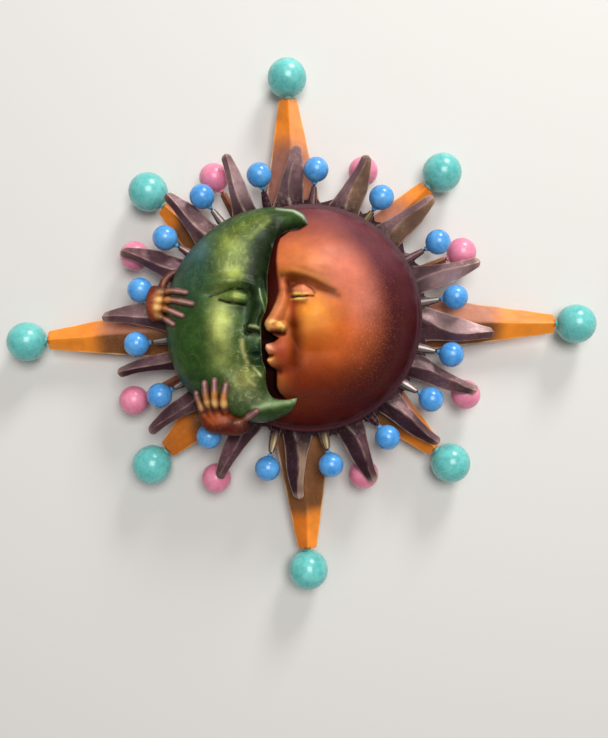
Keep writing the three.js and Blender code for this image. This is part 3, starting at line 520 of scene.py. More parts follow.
for number, (angle, reach) in enumerate(thin_rays, 1):
    end = reach - pink_wide / 2 - ball_seat - thin_short
    root = oval_reach(*board_half, angle) - thin_overlap
    along = np.concatenate([[root], np.linspace(ray_shoulder, end - 0.5, 20), [end]])
    marks = [root, ray_shoulder, end]
    width = np.interp(along, marks, [thin_tang / 2, thin_shoulder / 2, thin_end / 2])
    width[-1] -= thin_ease
    level = {part: np.interp(along, marks, [ray_height[part]] * 2 + [thin_end_height[part]])
             for part in ray_height}
    rows, across = ridged(np.column_stack([along, 0 * along, width, *level.values(), 0 * along]), across=7)
    worn = eased(0.85, 1.0, np.abs(across)) * 0.5
    # Painted light and shade: the facet that faces the light is painted more orange, the other more brown
    coat = mixed(mixed(thin_brown, thin_orange, 0.2 + 0.6 * facing_light(angle, across)), worn_pale, worn)
    piece_from(f"thin_ray_piece_{number}", turned(rows, angle).reshape(-1, 3), rings_faces(*rows.shape[:2]),
               [plum_paint], stands_for=[f"thin_ray_{number}"], crisp=28,
               colour=coat.reshape(-1, 3), rub=(0.4 + 0.4 * worn).ravel())
    drive_pin(f"thin_ray_pin_{number}", turned(pin_points(end, ball_height), angle))

# Flame ring
# One casting: an oval plate behind the dome with sixteen wavy flames and sixteen straight prongs. It is
# sprayed dark plum and then rubbed with a pale metallic mauve that catches on the arrises. The rubbed paints
# are paler on the facets that face the light and darker on the others, as painted light and shade, and the
# flames' roots by the dome stay dark, as painted shade.
plate_half = (104, 97)
plate_back, plate_thick = 26.3, 16
# Each flame: the angles of its root and of its tip, its reach, how far it bows out, and its width
flames = [
    (359.3, 356.8, 196, 1, 27.5), (21.5, 18.6, 192, -3, 23), (43.8, 42.8, 185, 0, 25),
    (68.5, 67.4, 181, -2, 26), (96, 90.6, 176, 0, 25), (116.7, 113.6, 183, 0, 19.5),
    (137.3, 136.1, 184, -1.5, 23.5), (157.3, 158.3, 191, -2.5, 23), (178.2, 178.7, 196, -3, 24),
    (200, 196, 187, -4, 16.5),
    (219, 216.7, 185, -3.5, 18.5), (242.4, 243.3, 175, 0, 20), (269.1, 270.4, 177, -1, 21),
    (295.5, 295.7, 177, 1, 23), (319.5, 319.5, 186, -2.5, 20.5), (341.7, 339.2, 192, -3.5, 20),
]
# Each prong: its angle, and how far out the middle of its ball is
prongs = [
    (9, 159), (29.7, 160.7), (56.1, 149.4), (83.2, 152.9), (104.8, 151.4), (127.4, 157.3),
    (147.7, 156.6), (168.6, 160.5), (187.8, 162.3), (208, 156.1), (232.2, 144.5), (258.3, 149.1),
    (283, 146.3), (307.8, 145.7), (329.8, 153.5), (348, 156.5),
]
prong_root_height = plate_back + 5
prong_overlap, flame_overlap = 8, 9
prong_waist, prong_short, prong_ease = 36, 2.6, 0.4
# Half a prong's width and thickness at its root, waist and end
prong_half_wide, prong_half_thick = (6.5, 4.4, 2.6), (4.5, 3, 2.4)
blue_height = 45
worn_gold, web_plum, flame_plum = linear((226, 192, 170)), linear((58, 30, 38)), linear((46, 22, 30))
silver, rose, cream, dark = (linear(paint) for paint in (
    (206, 192, 184), (166, 126, 128), (206, 178, 120), (66, 36, 46)))
mauve, dusky, bronze, fawn, gilt, pale = (linear(paint) for paint in (
    (152, 114, 116), (116, 78, 84), (150, 114, 88), (214, 174, 146), (255, 226, 170), (190, 152, 152)))
# What is rubbed on a flame's left and right facet, and on a prong, going round from the right one; for a
# flame, paler on the facet that faces the light and darker on the other, as painted light and shade
flame_rubs_and_light = [
    (pale, dusky), (mauve, pale), (rose, bronze), (mauve, bronze), (rose, mauve), (mauve, pale),
    (dusky, mauve), (dusky, dusky), (dusky, mauve), (dark, mauve), (dusky, dusky), (dusky, dusky),
    (fawn, dark), (dusky, dark), (mauve, dark), (mauve, dusky),
]
prong_rubs_and_highlights = [silver, rose, cream, rose, dark, silver, rose, rose, silver, silver, dark, gilt, gilt, dark,
              silver, silver]


def prong_frame(angle, reach):
    """Root, slope and length of the line from a prong's root to the middle of its ball."""
    root = oval_reach(*plate_half, angle) - prong_overlap
    rise = blue_height - prong_root_height
    return root, math.atan2(rise, reach - root), math.hypot(rise, reach - root)


def leaned(points, root, slope):
    """Points laid out along y from 0, tilted out of the wall and pushed out to a prong's root."""
    y, z = points[..., 1], points[..., 2]
    return np.stack([points[..., 0], root + y * math.cos(slope) - z * math.sin(slope),
                     prong_root_height + y * math.sin(slope) + z * math.cos(slope)], axis=-1)


ring_points, ring_faces, ring_coat, ring_rub = [], [], [], []


def cast_on(rows, coat, rub, caps=True, inside_out=False):
    """Adds a skin through rows of points to the flame ring's casting."""
    first = sum(len(points) for points in ring_points)
    faces = rings_faces(*rows.shape[:2], first=first, caps=caps)
    ring_faces.extend(face[::-1] if inside_out else face for face in faces)
    ring_points.append(rows.reshape(-1, 3))
    ring_coat.append(np.broadcast_to(coat, rows.shape).reshape(-1, 3))
    ring_rub.append(np.broadcast_to(rub, rows.shape[:2]).ravel())


plate_turns = np.radians(np.arange(0, 360, 2))
round_plate = np.column_stack([np.cos(plate_turns), np.sin(plate_turns)])
plate_front = plate_back + plate_thick
plate_edge = [(1.2, plate_back), (0.3, plate_back + 0.4), (0, plate_back + 1.4), (0, plate_front - 1.6),
              (0.5, plate_front - 0.4), (2, plate_front)]
plate_rows = [
    np.column_stack([round_plate * (np.array(plate_half) - inset), np.full(len(round_plate), height)])
    for inset, height in plate_edge
]
cast_on(np.array(plate_rows), deep_plum, 0.25)

# How much wider a flame is at its root, how wide at its tip, how it thins and lifts toward the tip,
# and its ripple, the rounding of its tip and the depth of its dents
flame_flare, flame_tip_wide = 16, 9.4
flame_thick, flame_thinning, flame_lift = 13, 6, 12
flame_ripple, flame_tip_round, flame_dent = 1.6, 4.2, 0.45
# A flame's crest swings along with its bends, but on the right flame, the first, against them
crest_with, crest_against = 0.16, -0.2
for (angle, tip_angle, reach, bow_out, wide), facet_rubs_and_light in zip(flames, flame_rubs_and_light):
    root = oval_reach(*plate_half, angle) - flame_overlap
    way = np.concatenate([np.linspace(0, 0.94, 40), 0.94 + 0.06 * np.sin(np.linspace(0.15, np.pi / 2, 10))])
    wave = 2 * np.pi * way
    along = root + (reach - root) * way
    width = wide + flame_flare * (1 - eased(0.05, 0.6, way))
    width = width + (flame_tip_wide - width) * eased(0.5, 1.07, way)
    back = plate_back + flame_lift * eased(0.15, 0.85, way)
    thick = flame_thick - flame_thinning * way
    sway = (-along * np.sin(math.radians(tip_angle - angle) * way) - bow_out * np.sin(wave / 2)
            - flame_ripple * np.sin(wave))
    round_from = 1 - flame_tip_round / (reach - root)
    blunt = np.sqrt(np.clip(1 - np.clip((way - round_from) / (1.0005 - round_from), 0, 1) ** 2, 0.03, 1))
    crest_swing = width * (crest_against if angle == flames[0][0] else crest_with) * np.sin(wave + 0.6)
    rows, across = ridged(np.column_stack([
        along, sway, width / 2 * blunt, back + thick * 0.2 * (1 - blunt), back + thick * 0.4,
        back + thick * (0.4 + 0.6 * (0.3 + 0.7 * blunt)), crest_swing]), across=9)
    front = on_front(rows)
    rows[..., 2] -= flame_dent * np.abs(hand_wobble(rows + angle, 7.0)) * front
    blotch = 0.5 + 0.5 * np.sin(rows[..., 1] * 0.11 + 0.8 * across + angle)
    breaks = 0.5 + 0.5 * np.sin(rows[..., 1] * 0.31 + angle) * np.sin(rows[..., 1] * 0.13 + 2 * angle)
    # Painted light and shade: each facet gets its listed paint, the paler ones on facets that face the light
    rubbed = np.where((across < 0)[..., None], *facet_rubs_and_light)
    rubbed_share = np.where(facing_light(angle, across), 0.78, 0.88) * (0.5 + 0.5 * blotch)
    # Painted shade: the rubbed paint fades out toward the root, leaving it dark by the dome
    coat = mixed(flame_plum, rubbed, rubbed_share * eased(114, 144, rows[..., 1]))
    worn = eased(0.93, 1.0, np.abs(across)) * (0.35 + 0.65 * breaks)
    worn += (0.7 * eased(0.9, 1, way)[:, None] + 0.45 * np.exp(-(across / 0.07) ** 2)) * breaks
    worn *= front * eased(0.1, 0.3, way)[:, None]
    cast_on(turned(rows, angle), mixed(coat, worn_gold, np.clip(0.72 * worn, 0, 0.9)),
            np.clip(0.1 + 5 * rubbed.mean(axis=-1) * blotch, 0, 1))

# The web that joins the roots of the flames and prongs in front of the plate, round the sun's edge
sun_middle, web_round = (10.5, 4), 117
# How far the web runs up each flame and prong, and how far beside it
flame_swell, flame_swell_past, prong_swell, prong_swell_half = 12, 4, 9, 6.5
web_turns = np.arange(0, 360, 0.75)
toward = np.stack([np.cos(np.radians(web_turns)), np.sin(np.radians(web_turns))], -1)
leaning = toward @ sun_middle
web_reach = leaning + np.sqrt(web_round ** 2 - np.dot(sun_middle, sun_middle) + leaning ** 2) - 0.5
swells = [(angle + 0.2 * (tip_angle - angle), flame_swell, 0.5 * wide + flame_swell_past)
          for angle, tip_angle, _, _, wide in flames]
swells += [(angle, prong_swell, prong_swell_half) for angle, _ in prongs]
swell = np.zeros(len(web_turns))
for angle, rise, wide in swells:
    arc = np.radians(np.abs((web_turns - angle + 180) % 360 - 180)) * (web_round + 1)
    swell = np.maximum(swell, rise * np.exp(-(arc / wide) ** 2))
web_side = [(0, 28.4), (0, 30.6), (0.6, 31.6), (3, 32.6), (9, 34), (24, 35), (24, 28), (0.8, 28)]
web_rows = np.stack([
    np.column_stack([toward * (web_reach + swell - inset)[:, None], np.full(len(web_turns), height)])
    for inset, height in web_side
], axis=1)
cast_on(np.concatenate([web_rows, web_rows[:1]]), web_plum, 0.15, caps=False, inside_out=True)

for number, ((angle, reach), rub_and_highlight) in enumerate(zip(prongs, prong_rubs_and_highlights), 1):
    root, slope, length = prong_frame(angle, reach)
    end = length - blue_wide / 2 - ball_seat - prong_short
    along = np.concatenate([np.linspace(0, end - 0.5, 14), [end]])
    half_width = np.interp(along, [0, prong_waist, end], prong_half_wide)
    half_thick = np.interp(along, [0, prong_waist, end], prong_half_thick)
    half_width[-1] -= prong_ease
    rows, across = ridged(np.column_stack([
        along, 0 * along, half_width, -half_thick, 0 * along, half_thick, 0 * along]), across=6)
    # Rubbed paint along the ridge, stronger on the facet that faces the light, as a painted highlight
    strip = (1 - eased(0.4, 0.75, np.abs(across))) * np.where(facing_light(angle, across), 1.0, 0.45)
    coat = mixed(flame_plum, rub_and_highlight, 0.95 * strip * eased(112, 126, root + rows[..., 1]))
    coat = mixed(coat, worn_pale, eased(0.8, 1.0, np.abs(across)) * 0.3)
    cast_on(turned(leaned(rows, root, slope), angle), coat, 0.7)
    drive_pin(f"prong_pin_{number}", turned(leaned(pin_points(end, 0), root, slope), angle))

piece_from("flames", np.concatenate(ring_points), ring_faces, [plum_paint], stands_for=["flame_ring"],
           crisp=28, colour=np.concatenate(ring_coat), rub=np.concatenate(ring_rub))

# Sun
# A dome of papier-mache moulded hollow, its face built up in its left half where it meets the moon. It is
# airbrushed gold and salmon on the face and deep plum at the edges, under satin varnish. Shade is painted
# into the face's creases and hollows, and highlights along the dome's rim and the nostril's wing.
sun_round, sun_high = 113, 54
sun_full, sun_rim_wide, sun_rim_high = 9, 3, 5
relief_back = 42.6
sun_profile = [
    (-7, 86), (-19, 76), (-24, 65), (-26, 54), (-27.5, 41), (-27.5, 28), (-27, 16.5), (-28, 7),
    (-31.5, -2), (-32, -6), (-30, -11), (-24, -15), (-18.5, -18.5), (-24, -22), (-30.5, -24), (-31.5, -28),
    (-28, -34.5), (-30, -39), (-27, -44), (-21, -49), (-21, -66), (-16, -73.5), (-7, -80),
]
face_edge = [
    (0, 90), (-9, 85), (-15, 79), (-17.5, 70), (-18, 60), (-18, 53), (-16.5, 41), (-14.5, 32), (-14, 25),
    (-17.8, 16), (-23, 6), (-27, 0), (-30.3, -5), (-29.5, -10), (-24, -14.5), (-18, -18.5), (-23, -22),
    (-29, -24.5), (-29, -29), (-26, -34.6), (-28.7, -39.4), (-26, -43.2), (-18.5, -47.8), (-18.5, -55),
    (-18.5, -63), (-16, -69), (-9, -76), (0, -82),
]
# Each swelling of the face: where it runs, how far it stands up and how wide it is, in mm
sun_swellings = [
    [(-14.5, 44, 2.5, 8), (-6, 44, 4, 7), (6, 40, 4.5, 7), (16, 36, 4, 8), (27, 31, 3, 9), (40, 23, 1, 10)],
    [(-14, 54, 3, 12), (-4, 53, 4.2, 12), (10, 49, 4.4, 12), (22, 44, 3.6, 12), (34, 38, 2.4, 12),
     (46, 30, 1, 12)],
    [(-13, 44, 2.5, 6), (-11.5, 32, 2.5, 5), (-10.5, 25, 4, 5), (-12, 18, 6, 5.5), (-15.5, 10, 8, 6.5),
     (-19.5, 3, 10.5, 7.5), (-24, -5, 11.3, 7.5)],
    [(-25, -6, 11.7, 7.5), (-24.5, -8, 11.3, 7)],
    [(-19, -8, 8.5, 5.5), (-15, -7.5, 8, 5.5), (-12.5, -8, 6, 5)],
    [(-29, -25.5, 9.5, 4), (-26, -28.5, 8.5, 4.6), (-22, -30.5, 5, 4), (-18, -31.5, 2, 3)],
    [(-29, -38.8, 8.5, 4), (-25.5, -39.6, 8, 4.4), (-21.5, -37.5, 5, 4), (-18, -35, 2, 3)],
    [(-21, -31, 6.5, 16), (-15, -31, 6, 17)],
    [(-15, -60, 6.5, 13), (-2, -57, 4.5, 20), (14, -50, 3, 30)],
    [(14, 2, 6, 26), (16, -6, 5.5, 28)],
]
# Each hollow or crease: where it runs, how deep it is and how wide
sun_hollows = [
    [(-6, 32, 6, 5.5), (-5, 27, 5, 5)],
    [(-2, 33, 4, 7), (6, 31.5, 4.5, 6.5), (17, 27, 3.5, 6), (28, 23, 1, 6)],
    [(-6, 22, 3.5, 5), (-3.5, 14, 3.5, 6), (-3, 4, 3.5, 6.5), (-4, -5, 3, 6.5)],
    [(-3, 12, 2, 5), (8, 12, 2, 5), (18, 16, 1, 5)],
    [(-22.5, -13.4, 5, 2.2), (-17.5, -13.6, 6, 2.4), (-13, -14, 4, 2.2)],
    [(-5, -9, 3, 6), (-4, -20, 3, 8), (-5, -34, 2.4, 9), (-9, -44, 1, 9)],
    [(-32, -35.4, 5, 1.5), (-27, -34.8, 5.5, 1.5), (-24, -34.6, 3, 1.4), (-21.5, -34.2, 1, 1.4)],
    [(-24, -48, 3.5, 4), (-14, -48, 3, 4.5)],
]
sun_lid = [(-1, 24, 3, 5.5), (5, 25, 5.5, 8), (10.5, 23.6, 3.5, 6)]
sun_lash = [(-4.5, 19.2), (1, 20.2), (4, 19.6), (9, 20.4), (14.5, 20.4)]
sun_lower_lid = [(-3, 17.6), (2, 17.4), (9, 18.2)]


def run_of(points, x, y):
    """Distance of each point to a run of straight pieces, and the run's other columns there."""
    points = [tuple(point) for point in points]
    best = np.full(np.shape(x), np.inf)
    extra = [np.zeros(np.shape(x)) for _ in points[0][2:]]
    for one, other in zip(points[:-1], points[1:]):
        dx, dy = other[0] - one[0], other[1] - one[1]
        share = np.clip(((x - one[0]) * dx + (y - one[1]) * dy) / (dx * dx + dy * dy + 1e-9), 0, 1)
        away = np.hypot(x - one[0] - share * dx, y - one[1] - share * dy)
        nearer = away < best
        best = np.where(nearer, away, best)
        for column, (low, high) in enumerate(zip(one[2:], other[2:])):
            extra[column] = np.where(nearer, low + share * (high - low), extra[column])
    return best, extra


def merged(one, other, blend):
    """The higher of two surfaces, with the crease between them filled by a small fillet."""
    return np.maximum(one, other) + np.clip(blend - np.abs(one - other), 0, None) ** 2 / (4 * blend)


def modelled(x, y, swellings, hollows):
    """Rise of a face over its ground: swellings put on and smoothed in, then hollows pressed in."""
    rise = np.zeros(np.shape(x))
    for run in swellings:
        away, (high, wide) = run_of(run, x, y)
        lump = high * np.clip(1 - (away / wide / 1.35) ** 2, 0, 1) ** 2
        rise = (rise ** 5 + lump ** 5) ** 0.2
    for run in hollows:
        away, (deep, wide) = run_of(run, x, y)
        rise = rise - deep * np.exp(-(away / wide) ** 2)
    return rise


def profile_at(run, y):
    """Sideways place of an edge at each height."""
    run = sorted(run, key=lambda point: point[1])
    return np.interp(y, [point[1] for point in run], [point[0] for point in run])


def sun_ground(x, y):
    """Height of the plain dome with its face's fullness, as the moon is fitted to it."""
    reach = np.hypot(x - sun_middle[0], y - sun_middle[1]) / (sun_round - sun_rim_wide)
    dome = np.maximum(sun_rim_high, sun_high * np.sqrt(np.clip(1 - reach ** 2, 0, 1)))
    below_hair, above_jaw = 1 - eased(68, 92, y), eased(-86, -62, y)
    return relief_back + dome, sun_full * (1 - eased(0.4, 0.95, reach)) * below_hair * above_jaw, reach


def sun_height(x, y):
    """Height of the finished sun, its face raised to the right of the fold."""
    dome, full, reach = sun_ground(x, y)
    fold, edge = profile_at(sun_profile, y), profile_at(face_edge, y)
    edge = np.maximum(edge, fold + 2.5)
    share = np.clip((x - fold + 1.5) / (edge - fold + 1.5), 0, 1)
    in_face = 1 - (1 - share) ** 1.7
    face = modelled(x, y, sun_swellings, sun_hollows)
    away, (high, wide) = run_of(sun_lid, x, y)
    face = merged(face, -3.2 + high * (1 - (away / wide) ** 2), 1.0)
    face = face - 2.2 * np.exp(-(run_of(sun_lash, x, y)[0] / 1.0) ** 2)
    face = face + 1.3 * np.exp(-(run_of(sun_lower_lid, x, y)[0] / 1.6) ** 2)
    forehead = 4 * np.exp(-((x - 16) / 46) ** 2 - ((y - 62) / 22) ** 2)
    keep = 1 - eased(0.8, 1, reach)
    return dome + (full + face * (1 - eased(48, 60, y) * 0.5) + forehead) * in_face * keep, share, reach


def painted(coat, x, y, marks):
    """Lays paint on in soft marks, one over the other: a spot as (middle, (width, height), colour,
    strength), or a line as (run, width, colour, strength)."""
    for place, wide, colour, strength in marks:
        if isinstance(wide, tuple):
            away = ((x - place[0]) / wide[0]) ** 2 + ((y - place[1]) / wide[1]) ** 2
        else:
            away = (run_of(place, x, y)[0] / wide) ** 2
        coat = mixed(coat, linear(colour), strength * np.exp(-away))
    return coat


grid = 330
u, v = np.meshgrid(np.linspace(-1, 1, grid), np.linspace(-1, 1, grid))
u = 0.82 * u + 0.18 * u ** 3
sun_x = sun_middle[0] + sun_round * u * np.sqrt(1 - v ** 2 / 2)
sun_y = sun_middle[1] + sun_round * v * np.sqrt(1 - u ** 2 / 2)
sun_z, fold_share, sun_reach = sun_height(sun_x, sun_y)
sun_wobble = hand_wobble(np.stack([sun_x, sun_y, sun_z], -1), 16.0)
sun_z = sun_z + 0.25 * sun_wobble * (1 - eased(0.95, 1, sun_reach))

coat = np.broadcast_to(linear((186, 88, 34)), (*sun_x.shape, 3)).copy()
coat = painted(coat, sun_x, sun_y, [
    ((40, 54), (40, 32), (208, 116, 94), 0.85),
    ((14, 52), (18, 14), (226, 134, 80), 0.7),
    ((-2, 58), (16, 22), (204, 112, 60), 0.8),
    ((66, 32), (24, 32), (216, 122, 98), 0.65),
    ((56, 0), (20, 28), (200, 104, 62), 0.7),
    ((66, 16), (18, 24), (196, 116, 104), 0.55),
    ((58, -34), (20, 24), (160, 78, 40), 0.6),
    ((36, -14), (24, 26), (198, 84, 20), 0.75),
    ((14, 3), (19, 23), (240, 152, 54), 0.9),
    ((16, -28), (15, 20), (184, 82, 14), 0.8),
    ((-2, -48), (22, 16), (136, 54, 14), 0.75),
    ((20, -66), (60, 26), (124, 36, 4), 0.85),
])

# Round the dome from its left, the plum at the edge starts and ends at these shares of its radius
edge_paints = [
    (-180, 0.6, 0.95, (70, 8, 2)), (-100, 0.4, 0.95, (80, 8, 2)), (-80, 0.4, 0.9, (74, 8, 4)),
    (-60, 0.36, 0.82, (66, 5, 6)), (-40, 0.38, 0.8, (66, 8, 10)), (-20, 0.4, 0.78, (58, 5, 14)),
    (0, 0.38, 0.76, (60, 8, 18)), (20, 0.42, 0.76, (66, 12, 26)), (40, 0.5, 0.78, (92, 42, 52)),
    (60, 0.5, 0.84, (98, 44, 52)), (80, 0.45, 1.0, (116, 58, 66)), (100, 0.5, 1.0, (110, 56, 64)),
    (180, 0.5, 1.0, (110, 56, 64)),
]
edge_table = np.array([(turn, start, end, *linear(paint)) for turn, start, end, paint in edge_paints])
round_turn = np.degrees(np.arctan2(sun_y - sun_middle[1], sun_x - sun_middle[0]))
edge_start, edge_end, *edge_plum = (np.interp(round_turn, edge_table[:, 0], column)
                                    for column in edge_table.T[1:])
edge_share = 0.98 * eased(0, 1, (sun_reach - edge_start) / (edge_end - edge_start))
coat = mixed(coat, np.stack(edge_plum, -1), edge_share)
coat = painted(coat, sun_x, sun_y, [
    ((-16, 30), (7, 20), (216, 118, 74), 0.8),
    ((-20, 10), (9, 13), (226, 138, 88), 0.85),
    ((-27, -6), (6, 6), (252, 192, 118), 0.78),
    ((-15, -8), (7, 3.4), (252, 196, 104), 0.85),
    ((-15, -32), (9, 15), (160, 62, 34), 0.85),
    ((-27, -27), (4.5, 4.5), (250, 176, 140), 0.85),
    ((-26, -39), (5, 4), (248, 172, 98), 0.8),
    ((-16, -60), (8, 9), (170, 92, 40), 0.7),
    # Painted shade in the valley down the right of the nose, in the fold beside the mouth, in the inner
    # corner of the eye socket and in a band under the brow
    ([(-7, 26), (-4.5, 15), (-4, 4), (-4, -6)], 4.4, (128, 48, 24), 0.9),
    ([(-4, -8), (-1.5, -22), (-2, -42)], 7.0, (96, 34, 8), 0.92),
    ([(-8, 35), (-6, 26)], 4.4, (76, 24, 16), 0.95),
    ([(-6, 35), (4, 36), (15, 30), (28, 24.5), (38, 21)], 3.2, (132, 62, 26), 0.9),
    ([(-15, 43), (-6, 43.4), (6, 42), (16, 38), (26, 33)], 4.3, (172, 100, 26), 0.85),
    # Painted shade along the underside of the brow
    ([(-14, 39.5), (-5, 40), (6, 37.6), (16, 34), (26, 29.5), (34, 25.6)], 3.0, (108, 54, 14), 0.9),
    ((5, 27.5), (8.5, 4.5), (228, 138, 104), 0.85),
    # Painted shade in the crease over the lid
    ([(-4, 30), (0, 33), (7, 32.6), (13, 27.6), (16, 23.6)], 1.3, (104, 36, 22), 0.8),
    ((0.5, 23.0), (4.2, 1.2), (255, 226, 110), 0.95),
    ((7.5, 23.2), (2.6, 0.9), (255, 196, 128), 0.7),
    (sun_lash[:4], 1.15, (22, 10, 8), 1.0),
    (sun_lash[3:], 0.9, (40, 14, 10), 0.9),
    ((2.0, 17.7), (5.4, 1.15), (255, 224, 128), 0.95),
    # Painted shade in the hollow under the eye, in the nostril, under the nose and in the parting of the lips
    ([(-3, 14.4), (7, 14.2)], 1.8, (150, 66, 24), 0.55),
    ([(-24, -13.4), (-13, -14.2)], 2.4, (44, 12, 12), 0.97),
    ([(-30, -17), (-22, -20)], 3.4, (52, 14, 14), 0.95),
    ([(-32, -35.4), (-27, -34.8), (-23, -34.4)], 1.2, (44, 12, 12), 0.95),
    # A painted highlight along the rim of the nostril's wing
    ([(-23.5, -3.2), (-20, -3), (-16, -4.4), (-13, -8), (-13.6, -11)], 1.1, (255, 206, 118), 0.8),
    # Painted shade in the crease between the nose's tip and wing, and in the hollow under the lower lip
    ([(-22.4, -6), (-19, -7.6)], 1.3, (176, 84, 46), 0.7),
    ([(-28, -46), (-16, -48.5)], 2.8, (58, 16, 16), 0.9),
])
in_shade = (1 - eased(0.72, 1.0, fold_share)) * eased(-86, -72, sun_y) * (1 - eased(80, 90, sun_y))
shade_paint = mixed(linear((58, 12, 12)), linear((14, 5, 7)), eased(8, -12, sun_y) * 0.95)
coat = mixed(coat, shade_paint, in_shade * 0.97)
rub = np.clip(0.15 + 0.75 * np.exp(-((sun_x - 66) / 24) ** 2 - ((sun_y + 4) / 44) ** 2), 0, 1)
for dull_valley in ([(-8, 35), (-6, 26), (-4.5, 15), (-4, 4), (-5, -6)],
                    [(-5, -8), (-3.5, -22), (-4.5, -42)]):
    rub *= 1 - np.exp(-(run_of(dull_valley, sun_x, sun_y)[0] / 5) ** 2)
rub *= (1 - in_shade) * (1 - 0.8 * eased(0.75, 0.95, sun_reach) * eased(60, -10, sun_y))
coat = mixed(coat, linear((58, 28, 38)), 0.6 * eased(0.955, 0.975, sun_reach))
# A painted highlight along the rim of the dome
coat = mixed(coat, linear((136, 96, 104)), 0.3 * np.exp(-((sun_reach - 0.985) / 0.01) ** 2))


def relief_skin(x, y, z, coat, rub, floor, wall_coat):
    """A moulded front over a grid, with the wall under its border and a flat back."""
    front = np.stack([x, y, z], -1).reshape(-1, 3)
    index = np.arange(x.size).reshape(x.shape)
    faces = np.stack([index[:-1, :-1], index[:-1, 1:], index[1:, 1:], index[1:, :-1]], -1)
    faces = faces.reshape(-1, 4).tolist()
    border = np.concatenate([index[0, :-1], index[:-1, -1], index[-1, :0:-1], index[:0:-1, 0]])
    rim = front[border]
    inward = rim.mean(axis=0) - rim
    inward[:, 2] = 0
    inward /= np.linalg.norm(inward, axis=1)[:, None]
    points, coats, rubs = [front], [coat.reshape(-1, 3)], [rub.ravel()]
    for share, inset in ((0.35, 0.0), (0.9, 0.0), (1.0, 0.8)):
        ring = rim + inward * inset
        ring[:, 2] = rim[:, 2] + (floor - rim[:, 2]) * share
        below = sum(len(p) for p in points) + np.arange(len(border))
        faces += np.stack([border, below, np.roll(below, -1), np.roll(border, -1)], -1).tolist()
        points.append(ring)
        coats.append(np.tile(wall_coat, (len(border), 1)))
        rubs.append(np.full(len(border), 0.3))
        border = below
    faces.append(border.tolist())
    return np.concatenate(points), faces, np.concatenate(coats), np.concatenate(rubs)


sun_paint = cast_paint("sun_paint", (232, 160, 116), 0.44, 0.04, patch_size=620.0, flake_share=0.35,
                       shine=0.16)
skin_points, skin_faces, skin_coat, skin_rub = relief_skin(
    sun_x, sun_y, sun_z, coat, rub, relief_back, linear((64, 32, 42)))
piece_from("sun", skin_points, skin_faces, [sun_paint], stands_for=["sun_shell"], crisp=60,
           colour=skin_coat, rub=skin_rub)

# Moon
# A crescent modelled over the sun's left side, thickest along a crest down its middle, with a face in profile
# that meets the sun's. It is dark green, rubbed with yellow-green metallic on the heights. Shade is painted
# on the underside of the upper horn, down its inner edge and in the face's creases and hollows, and
# highlights along the horns' edges, the nose, the lid and the inner edge.
moon_outer = [
    (10, 92), (6, 102), (-2, 108), (-17, 112), (-35, 111), (-57, 106), (-81, 93), (-103, 73), (-119, 50),
    (-128, 24), (-130, -3), (-127, -30), (-117, -56), (-100, -76), (-79, -90), (-57, -97), (-37, -100),
    (-22.5, -97), (-5.5, -87), (0, -74),
]
moon_inner = [
    (10, 92), (1, 86), (-11, 84), (-20, 77), (-24, 65), (-26, 55), (-28, 42), (-28, 28), (-28, 17),
    (-30, 7), (-34, -2), (-34, -14), (-34, -26), (-33, -38), (-30, -48), (-30, -57), (-28, -68),
    (-22, -75), (-11, -76), (0, -74),
]
moon_crests = (0.42, 0.7)
moon_edge, moon_thick, moon_full, moon_lip = 9, 10, 6, 3
moon_swellings = [
    [(-86, 31, 1, 8), (-71, 34, 3, 8), (-54, 36, 3.5, 7), (-43, 33, 3, 6)],
    [(-38, 34, 2, 5.5), (-37, 27, 3.5, 5.5), (-36, 19, 6, 6.5), (-34, 12, 8, 7.5), (-35, 4, 10, 8.5),
     (-38, -5, 11, 8)],
    [(-46, -8, 6, 5), (-41, -8, 9, 6), (-36, -8, 9, 6)],
    [(-46, -27.5, 3, 3.5), (-40, -26.5, 7, 5), (-33, -29, 8, 5)],
    [(-46, -36, 3, 3.5), (-40, -38, 6.5, 4.8), (-33, -37, 7, 4.8)],
    [(-44, -31, 4, 13), (-38, -31, 5, 14)],
    [(-42, -55, 7, 12), (-36, -56, 7, 12)],
    [(-74, -6, 5, 26), (-70, -14, 4.5, 26)],
]
moon_hollows = [
    [(-82, 23, 2, 6), (-70, 25, 4, 6.5), (-56, 26, 4.5, 6), (-47, 25, 5, 5)],
    [(-48, 17, 3, 6), (-48, 8, 2.6, 7), (-50, -4, 1.4, 7)],
    [(-78, 9, 1, 7), (-62, 7, 1.8, 7), (-52, 7, 1.4, 7)],
    [(-47, -12.6, 4, 2), (-37, -12.8, 5, 2.2)],
    [(-52, -12, 1, 6), (-53, -24, 1.8, 6), (-51, -36, 1.2, 6)],
    [(-46, -32.3, 3.5, 1.4), (-38, -32.6, 4.5, 1.5), (-31, -33, 4.5, 1.5)],
    [(-44, -45, 2.5, 4), (-34, -45, 3, 4)],
]
moon_lid = [(-70, 19.5, 3, 6), (-60, 21, 6, 8.5), (-51, 19.5, 4, 6)]
moon_lash = [(-74, 18), (-66, 15.6), (-57, 14.4), (-49.5, 13.2)]
moon_crease = [(-83, 21), (-72, 25), (-63, 28), (-53, 28.6), (-47.5, 25.6)]


def bent_through(points, shares):
    """Places along a smooth curve that passes through points at even shares."""
    points = np.asarray(points, float)
    spot = np.asarray(shares) * (len(points) - 1)
    low = np.minimum(spot.astype(int), len(points) - 2)
    t = (spot - low)[:, None]
    before, one = points[np.where(low == 0, low, low - 1)], points[low]
    other, after = points[low + 1], points[np.minimum(low + 2, len(points) - 1)]
    lead, trail = (other - before) / 2, (after - one) / 2
    return ((2 * one - 2 * other + lead + trail) * t ** 3 + (-3 * one + 3 * other - 2 * lead - trail) * t ** 2
            + lead * t + one)


